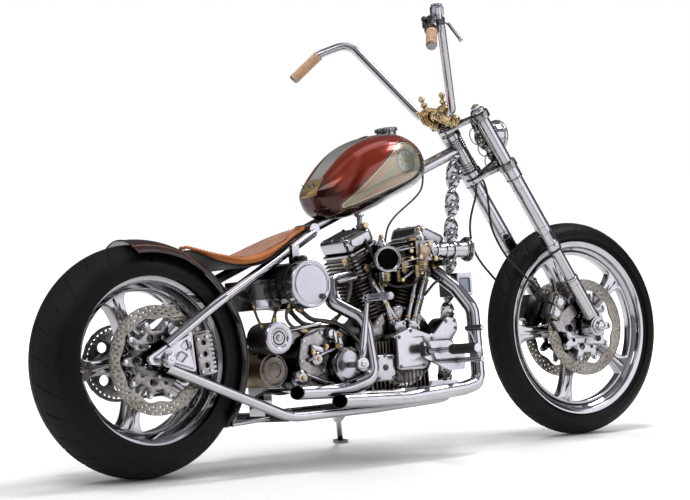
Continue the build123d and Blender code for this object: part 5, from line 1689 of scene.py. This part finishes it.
def buildHeadlamp():
    place = frameAt((1342, 0, 966), (1, 0, 0), (0, 0, 1))
    bowl = [turned([(0, -43), (14, -42), (31, -34), (43, -17), (48, 4), (49.6, 24), (52, 26), (53, 31),
        (52, 38), (46, 41), (0, 38)], place, 72, 1.5)]
    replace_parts(pieceOf("headlampBowl", bowl, "chromePlate", "steering"), "headlamp")
    glass = [turned([(0, 37), (46, 37), (44, 42), (30, 46), (0, 48)], place, 64, 1.5)]
    pieceOf("headlampGlass", glass, "lampGlass", "steering")
    ribs = [turned([(0, -50), (9, -50), (12, -42), (12, -36), (0, -36)], place, 32)]
    stay = [rodShape(forkAt(30, 0, -100), forkAt(104, 0, -100), 9),
        rodShape(forkAt(104, 0, -106), (1342, 0, 950), 9), ballShape(forkAt(104, 0, -102), 14)]
    pieceOf("headlampStay", ribs + stay, "darkCasting", "steering")


# Handlebar: brass clamps with finials, right-hand controls, grips

def finialShape(base, up, scale=1.0):
    profile = [(0, -4), (11, -4), (12, 2), (7, 6), (5, 12), (9, 15), (10, 19), (6, 23), (4, 27), (7.5, 31),
        (9, 36), (6.5, 41), (2, 44), (0, 45)]
    return turned([(r * scale, h * scale) for r, h in profile], frameAt(base, up, (0, 1, 0.1)), 28, 1.2)


def buildBarDetails():
    brass, chrome = [], []
    x, z = 1138, 1032
    for side in (-1, 1):
        y = side * 38
        brass += [finialShape((x - 4, y + side * 6, z + 18), (-0.3, side * 0.2, 1), 1.15),
            finialShape((x - 22, y, z + 4), (-1, side * 0.4, 0.35), 0.7)]
        ring = frameAt((x, y, z), (0, 1, 0))
        for offset, r in ((-15, 22), (-10, 27), (0, 28.5), (10, 27), (15, 22)):
            brass.append(turned([(13.2, offset - 2.6), (r, offset - 2.6), (r + 1.4, offset),
                (r, offset + 2.6), (13.2, offset + 2.6)], ring, 40, 1))
        for angle in range(0, 360, 45):
            a = radians(angle)
            brass.append(ballShape((x + 27 * cos(a), y + side * 5, z + 27 * sin(a)), 5.4, 12))
        foot = forkAt(8, y, 96)
        brass += [rodShape(foot, (x - 4, y, z - 18), 12), ballShape(foot + Vector((0, 0, 10)), 18),
            ballShape((foot + Vector((x - 4, y, z - 18))) / 2, 16)]
        for turn in (0.0, 2.1, 4.2):
            line = []
            start, end = foot, Vector((x - 4, y, z - 14))
            along = (end - start).normalized()
            u = along.orthogonal().normalized()
            v = along.cross(u)
            for k in range(19):
                t = k / 18
                a = turn + 5.5 * t
                line.append(start + (end - start) * t + (u * cos(a) + v * sin(a)) * (13 + 5 * sin(pi * t)))
            brass.append(sweepShape(line, circleOutline(3.4, 8)))
    brass += [ballShape((x - 6, 0, z + 2), 15)]
    brass += [hoop(13, 18, y, y + 6, frameAt((x, 0, z), (0, 1, 0)), 32) for y in (-12, 6)]
    pieceOf("barClampOrnament", brass, "brassPolish", "steering")
    along = Vector((-60, -67, -72)).normalized()
    start = Vector((911.8, -291.3, 1261.6))
    dark, tan, ends, ribs = [], [], [], []
    for side in (-1, 1):
        d = Vector((along.x, along.y * -side, along.z))
        s = Vector((start.x, start.y * -side, start.z))
        inner = 34 if side < 0 else 2
        place = frameAt(s, d, (0, 0, 1))
        if side < 0:
            dark.append(turned([(13, -30), (20, -30), (22, -26), (22, 26), (18, 32), (13, 32)], place, 36,
                1.5))
        tan.append(turned([(13, inner), (17, inner), (17.6, inner + 4), (15.2, inner + 9), (15.8, 60),
            (15.2, 101), (17, 106), (17, 109), (13, 109)], place, 40, 1.5))
        ends.append(turned([(0, 108), (15.6, 108), (15.6, 113), (12, 117), (0, 117)], place, 36))
        ribs.append([s + d * (inner + 12), s + d * 100])
    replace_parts(pieceOf("gripSleeves", tan, "tanGrip", "steering"), "grips")
    pieceOf("gripEnds", ends, "castAlloy", "steering", slot="chrome")
    rings("gripRibs", ribs, 4.4, 15.5, 1.2, "tanGrip", "steering")
    clamp = start - along * 18
    dark += [blockShape((46, 34, 26), 5, Matrix.Translation(clamp + Vector((20, 4, 6)))),
        blockShape((24, 20, 34), 4, Matrix.Translation(clamp + Vector((-14, 6, 0)))),
        turned([(0, 0), (9, 0), (9, 10), (0, 12)],
        frameAt(clamp + Vector((-24, 0, 8)), (-1, -0.4, 0.2), (0, 0, 1)), 24)]
    chrome += [blockShape((34, 30, 30), 5, Matrix.Translation(clamp + Vector((22, 0, 36)))),
        turned([(0, 0), (17, 0), (17, 5), (12, 7), (0, 7)], frameAt(clamp + Vector((22, 0, 51))), 36),
        ballShape(clamp + Vector((46, -72, -60)), 7)]
    pieceOf("brakeMaster", dark, "glossBlack", "steering")
    pieceOf("brakeReservoir", chrome, "satinAlloy", "steering", slot="chrome")


# Tank fittings, pegs, primary case and regulator

def buildTankDetails():
    chrome, dark, brass = [], [], []
    cap = tankFrame @ shift(400, 0, 142)
    cap = frameAt(cap.translation, (-0.08, 0, 1))
    chrome.append(turned([(0, 12), (31.5, 12), (33, 15), (33, 22), (29, 25), (20, 26), (0, 27)], cap, 72))
    chrome += [blockShape((5, 3, 11), 1, cap @ Matrix.Rotation(radians(k * 15), 4, "Z") @ shift(33, 0, 18))
        for k in range(24)]
    dark.append(turned([(0, 0), (17, 0), (17, 4), (13, 6), (0, 6)],
        frameAt(tankFrame @ Vector((316, 6, 166)), (-0.36, 0, 1)), 40))
    for y in (-26, 0, 26):
        dark.append(turned([(0, -6), (5, -6), (4, 4), (1, 17), (0, 18)],
            frameAt(tankFrame @ Vector((64, y, 108)), (-0.8, y * 0.006, 0.9), (0, 1, 0)), 16))
    tap = shift(766, -60, 712)
    chrome.append(turned([(0, -46), (6, -46), (6, -34), (12, -32), (12, -20), (8, -16), (8, 4), (14, 6),
        (14, 12), (0, 12)], tap, 28))
    brass.append(turned([(0, 0), (6, 0), (6, 16), (9, 18), (9, 24), (0, 24)],
        frameAt((766, -68, 690), (0, -1, 0)), 20))
    pieceOf("tankChrome", chrome, "chromePlate")
    pieceOf("tankBlack", dark, "glossBlack")
    pieceOf("tankBrass", brass, "brassPolish")
    # footrest rubbers, crosswise rings, and screws of the primary case
    lines = [[(965, side * 214, 302), (965, side * 326, 302)] for side in (-1, 1)]
    rings("footrestRubbers", lines, 8, 13.2, 2.4, "hoseRubber")
    rings("pedalRubbers", [[(988, side * 264, 361), (988, side * 326, 361)] for side in (-1, 1)], 7, 7, 2.0,
        "hoseRubber")
    domes = [turned([(0, -4), (62, -4), (64, 2), (60, 6), (40, 8), (0, 9)],
        frameAt((570, 164, 300), (0, 1, 0)), 72),
        turned([(0, -4), (44, -4), (46, 2), (40, 5), (0, 6)], frameAt((crankX, 164, crankZ), (0, 1, 0)), 64)]
    pieceOf("primaryDomes", domes, "polishedAlloy")
    spots = [((570 + 92 * cos(a), 164, 300 + 92 * sin(a)), (0, 1, 0))
        for a in (radians(d) for d in range(80, 290, 30))]
    spots += [((crankX + 76 * cos(a), 164, crankZ + 76 * sin(a)), (0, 1, 0))
        for a in (radians(d) for d in range(-90, 100, 36))]
    spots += [((570 + 54 * cos(a), 170, 300 + 54 * sin(a)), (0, 1, 0))
        for a in (radians(d) for d in range(0, 360, 72))]
    bolts("primaryBolts", spots, 5, 4, sides=12)
    # regulator: framed dark window
    face = rightFace(-95, 1121, 499)
    border = [([rectangle(29, 35, 5), rectangle(20, 22, 3, (0, -4))], 8, 2, face)]
    plates("regulatorFrame", border, "chromePlate")
    pane = [([rectangle(19, 21, 2, (0, -4))], 3, 1, face)]
    plates("regulatorPane", pane, "slateAlloy")


# Seat: a pad that swells under pressure, a rolled edge and its stitches

seatRows = ((182, rearAxle + 307.1, 12, 24), (248, rearAxle + 271.8, 22, 84), (340, 584, 26, 120),
    (450, 623, 24, 98), (525, 657, 20, 56), (588, 683, 13, 22))
seatPad = {"fill": 0.55, "voxel": 0.005, "start": 0.003, "cap": 0.006, "pressure": 4.0, "frames": 20,
    "bead": 4.2, "pitch": 6.5}


def seatHalf(x):
    ahead, behind = (x - 350.0).most(0.0) * (1 / 240.0), (x * -1.0 + 350.0).most(0.0) * (1 / 170.0)
    return (ahead * ahead * 100.0 + behind * behind * 96.0) * -1.0 + 120.0


def seatFinish():
    finish = Finish("tooledLeather", (0.5, 0.24, 0.14), roughness=0.5, sheen=0.15)
    x, y, _ = finish.axes(Matrix.Identity(4))
    mask, height = finish.wear(18.0, 2.4)
    edge = y.size() - seatHalf(x)
    curls = noise(finish.tree, finish.place, 55.0, 1.0)
    lines = ((curls * 14.0).math("FRACT") - 0.5).size() * 2.0
    middle = edge.below(-21.0, 1.5)
    colour = tint(mask, (0.50, 0.21, 0.125), (0.72, 0.40, 0.27))
    colour = tint(lines.below(0.28, 0.15) * middle * 0.55, colour, (0.22, 0.065, 0.03))
    rim = tint(mask, (0.56, 0.16, 0.035), (0.74, 0.28, 0.08))
    colour = tint(middle * -1.0 + 1.0, colour, rim)
    groove = edge.band(-21.0, 1.6, 1.0)
    finish.put("Base Color", tint(groove, colour, (0.10, 0.03, 0.012)))
    finish.put("Roughness", mask * -0.12 + 0.52)
    finish.bump(height, 0.0004)
    finish.bump(lines * middle, 0.0012)
    finish.bump(groove * -1.0, 0.002)
    edging = Finish("rimLeather", (0.50, 0.14, 0.03), roughness=0.45)
    mask, height = edging.wear(30.0, 2.0)
    edging.put("Base Color", tint(mask, (0.54, 0.15, 0.032), (0.76, 0.28, 0.08)))
    edging.bump(height, 0.0003)
    Finish("seatThread", (0.16, 0.06, 0.025), roughness=0.7).rough(0.6, 0.8)


def swell(piece, settings):
    shape = bmesh.new()
    shape.from_mesh(piece.data)
    bmesh.ops.remove_doubles(shape, verts=shape.verts, dist=0.00005)
    bmesh.ops.recalc_face_normals(shape, faces=shape.faces)
    moves = [(vert, vert.normal.copy()) for vert in shape.verts]
    for vert, normal in moves:
        vert.co -= normal * settings["start"]
    shape.to_mesh(piece.data)
    shape.free()
    bpy.context.view_layer.objects.active = piece
    remesh = piece.modifiers.new("remesh", "REMESH")
    remesh.mode = "VOXEL"
    remesh.voxel_size = settings["voxel"]
    even = finishedMesh(piece)
    piece.modifiers.clear()
    piece.data = even
    start = [vert.co.copy() for vert in even.vertices]
    cloth = piece.modifiers.new("cloth", "CLOTH")
    cloth.settings.use_pressure = True
    cloth.settings.uniform_pressure_force = settings["pressure"]
    cloth.settings.effector_weights.gravity = 0.0
    cloth.point_cache.frame_start, cloth.point_cache.frame_end = 1, settings["frames"]
    for number in range(1, settings["frames"] + 1):
        bpy.context.scene.frame_set(number)
    swollen = finishedMesh(piece)
    piece.modifiers.clear()
    for vert, origin in zip(swollen.vertices, start):
        move = vert.co - origin
        if move.length > settings["cap"]:
            vert.co = origin + move.normalized() * settings["cap"]
    piece.data = swollen
    bpy.context.scene.frame_set(1)


def buildSeat(settings):
    seatFinish()
    mesh = frame["nodes"]["seat_leather"].data.copy()
    mesh.name = "seatPad"
    piece = newPiece("seatPad", mesh, "tooledLeather", "chassis", slot="leather")
    swell(piece, settings)
    piece.data.materials.clear()
    piece.data.materials.append(finishes["tooledLeather"].material)
    for polygon in piece.data.polygons:
        polygon.use_smooth = True
    level = piece.modifiers.new("soften", "SUBSURF")
    level.levels = level.render_levels = 1
    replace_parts(piece, "seat_leather")
    rows = [(x, low + thick * 0.62, half, thick) for x, low, thick, half in seatRows]
    loop = [(x, half - thick * 0.10, z) for x, z, half, thick in rows]
    tip, nose = rows[0], rows[-1]
    line = [(tip[0] - 3, 0, tip[1])] + loop + [(nose[0] + 3, 0, nose[1])]
    line += [(x, -y, z) for x, y, z in reversed(loop)]
    path = splineThrough(line, 10, closed=True)
    pieceOf("seatBead", [sweepShape(path, circleOutline(settings["bead"], 12), closedLine=True)],
        "rimLeather")
    stitches = []
    path = [Vector(p) for p in path]
    travelled = 0.0
    middle = Vector((360, 0, 0))
    for a, b in zip(path, path[1:] + path[:1]):
        travelled += (b - a).length
        if travelled > settings["pitch"]:
            travelled = 0.0
            inward = Vector((middle.x - a.x, -a.y, 0)).normalized()
            stitches.append((a + inward * 7 + Vector((0, 0, 4.6)), b - a, (0, 0, 1)))
    unit = latheShape([(0, -2.1), (0.6, -1.8), (0.8, 0), (0.6, 1.8), (0, 2.1)], 8)
    unit = movedShape(unit, Matrix.Rotation(pi / 2, 4, "Y"))
    copied("seatStitches", unit, stitches, "chassis", "seatThread", "leather")


def buildKickLever():
    foot, top = Vector((632, -203, 278)), Vector((670, -203, 469))
    arm = frameAt(foot, top - foot, (0, -1, 0))
    reach = (top - foot).length
    shapes = [turned([(0, 14), (9, 16), (12.5, 40), (14, 66), (12, 100), (8.5, 140), (7, reach - 14),
        (0, reach - 8)], arm @ Matrix.Diagonal((0.6, 1.0, 1.0, 1.0)), 40, 2)]
    eye = frameAt(foot, (0, -1, 0))
    shapes.append(turned([(9.5, -10), (19, -10), (20.5, -7), (20.5, 7), (19, 10), (9.5, 10)], eye, 48))
    shapes.append(turned([(0, -6), (9.4, -6), (9.4, 12), (6, 14), (0, 14)], eye, 6, 0.5))
    knee = frameAt(top, (0, -1, 0))
    shapes.append(turned([(0, -12), (11, -12), (12, -8), (12, 8), (9, 12), (0, 12)], knee, 32))
    sleeve = turned([(0, 10), (10, 10), (11.6, 13), (11.6, 112), (10, 115), (0, 116)], knee, 40)
    pieceOf("kickPedal", [sleeve], "satinAlloy", "kick_lever", slot="chrome")
    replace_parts(pieceOf("kickArm", shapes, "chromePlate", "kick_lever"), "kick_lever")


# Hoses and cable through listed points, in place of the hose and cable solids

cords = {
    "brakeHoseRight": {
        "node": "brake_hose_right", "body": "steering", "radius": 3.5,
        "route": ((8, -20, -107), (8, -20, -137)),
        "points": ((1300, -26, 727), (1294, -36, 668), (1336, -50, 575), (1396, -62, 516), (1446, -66, 464),
            (1491, -60, 424))},
    "brakeHoseLeft": {
        "node": "brake_hose_left", "body": "steering", "radius": 3.5,
        "route": ((8, 20, -107), (8, 20, -137)),
        "points": ((1280, 50, 710), (1286, 60, 640), (1312, 66, 585), (1374, 68, 520), (1440, 66, 462),
            (1491, 60, 424))},
    "throttleCable": {
        "node": "throttle_cable", "body": "chassis", "radius": 3, "route": (),
        "points": ((1058, -10, 850), (1054, -14, 812), (1012, -32, 778), (948, -55, 746), (882, -76, 712),
            (836, -92, 670), (820, -102, 612))},
}


def buildCords(table):
    for name, values in table.items():
        points = [forkFrame @ Vector(p) for p in values["route"]] + [Vector(p) for p in values["points"]]
        points = [bikeToRow @ p for p in points]
        curve = bpy.data.curves.new(name, "CURVE")
        curve.dimensions = "3D"
        spline = curve.splines.new("NURBS")
        spline.points.add(len(points) - 1)
        for point, place in zip(spline.points, points):
            point.co = (*place, 1)
        spline.order_u = 3
        spline.use_endpoint_u = True
        spline.resolution_u = 12
        piece = newObject(name, curve)
        line = finishedMesh(piece)
        bpy.data.meshes.remove(line)
        curve.bevel_depth = values["radius"] / 1000
        curve.bevel_resolution = 3
        curve.use_fill_caps = True
        curve.materials.append(finishes["hoseRubber"].material)
        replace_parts(piece, values["node"])
        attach(piece, values["body"])
        2 * values["radius"] / 1000


Finish("lampGlass", (0.80, 0.84, 0.88), roughness=0.05, coat=1.0).rough(0.03, 0.08)
buildRearDetails()
buildFrontCalipers()
buildFork(fork)
buildHeadlamp()
buildBarDetails()
buildTankDetails()
buildSeat(seatPad)
buildKickLever()
buildCords(cords)
print("frame details built")
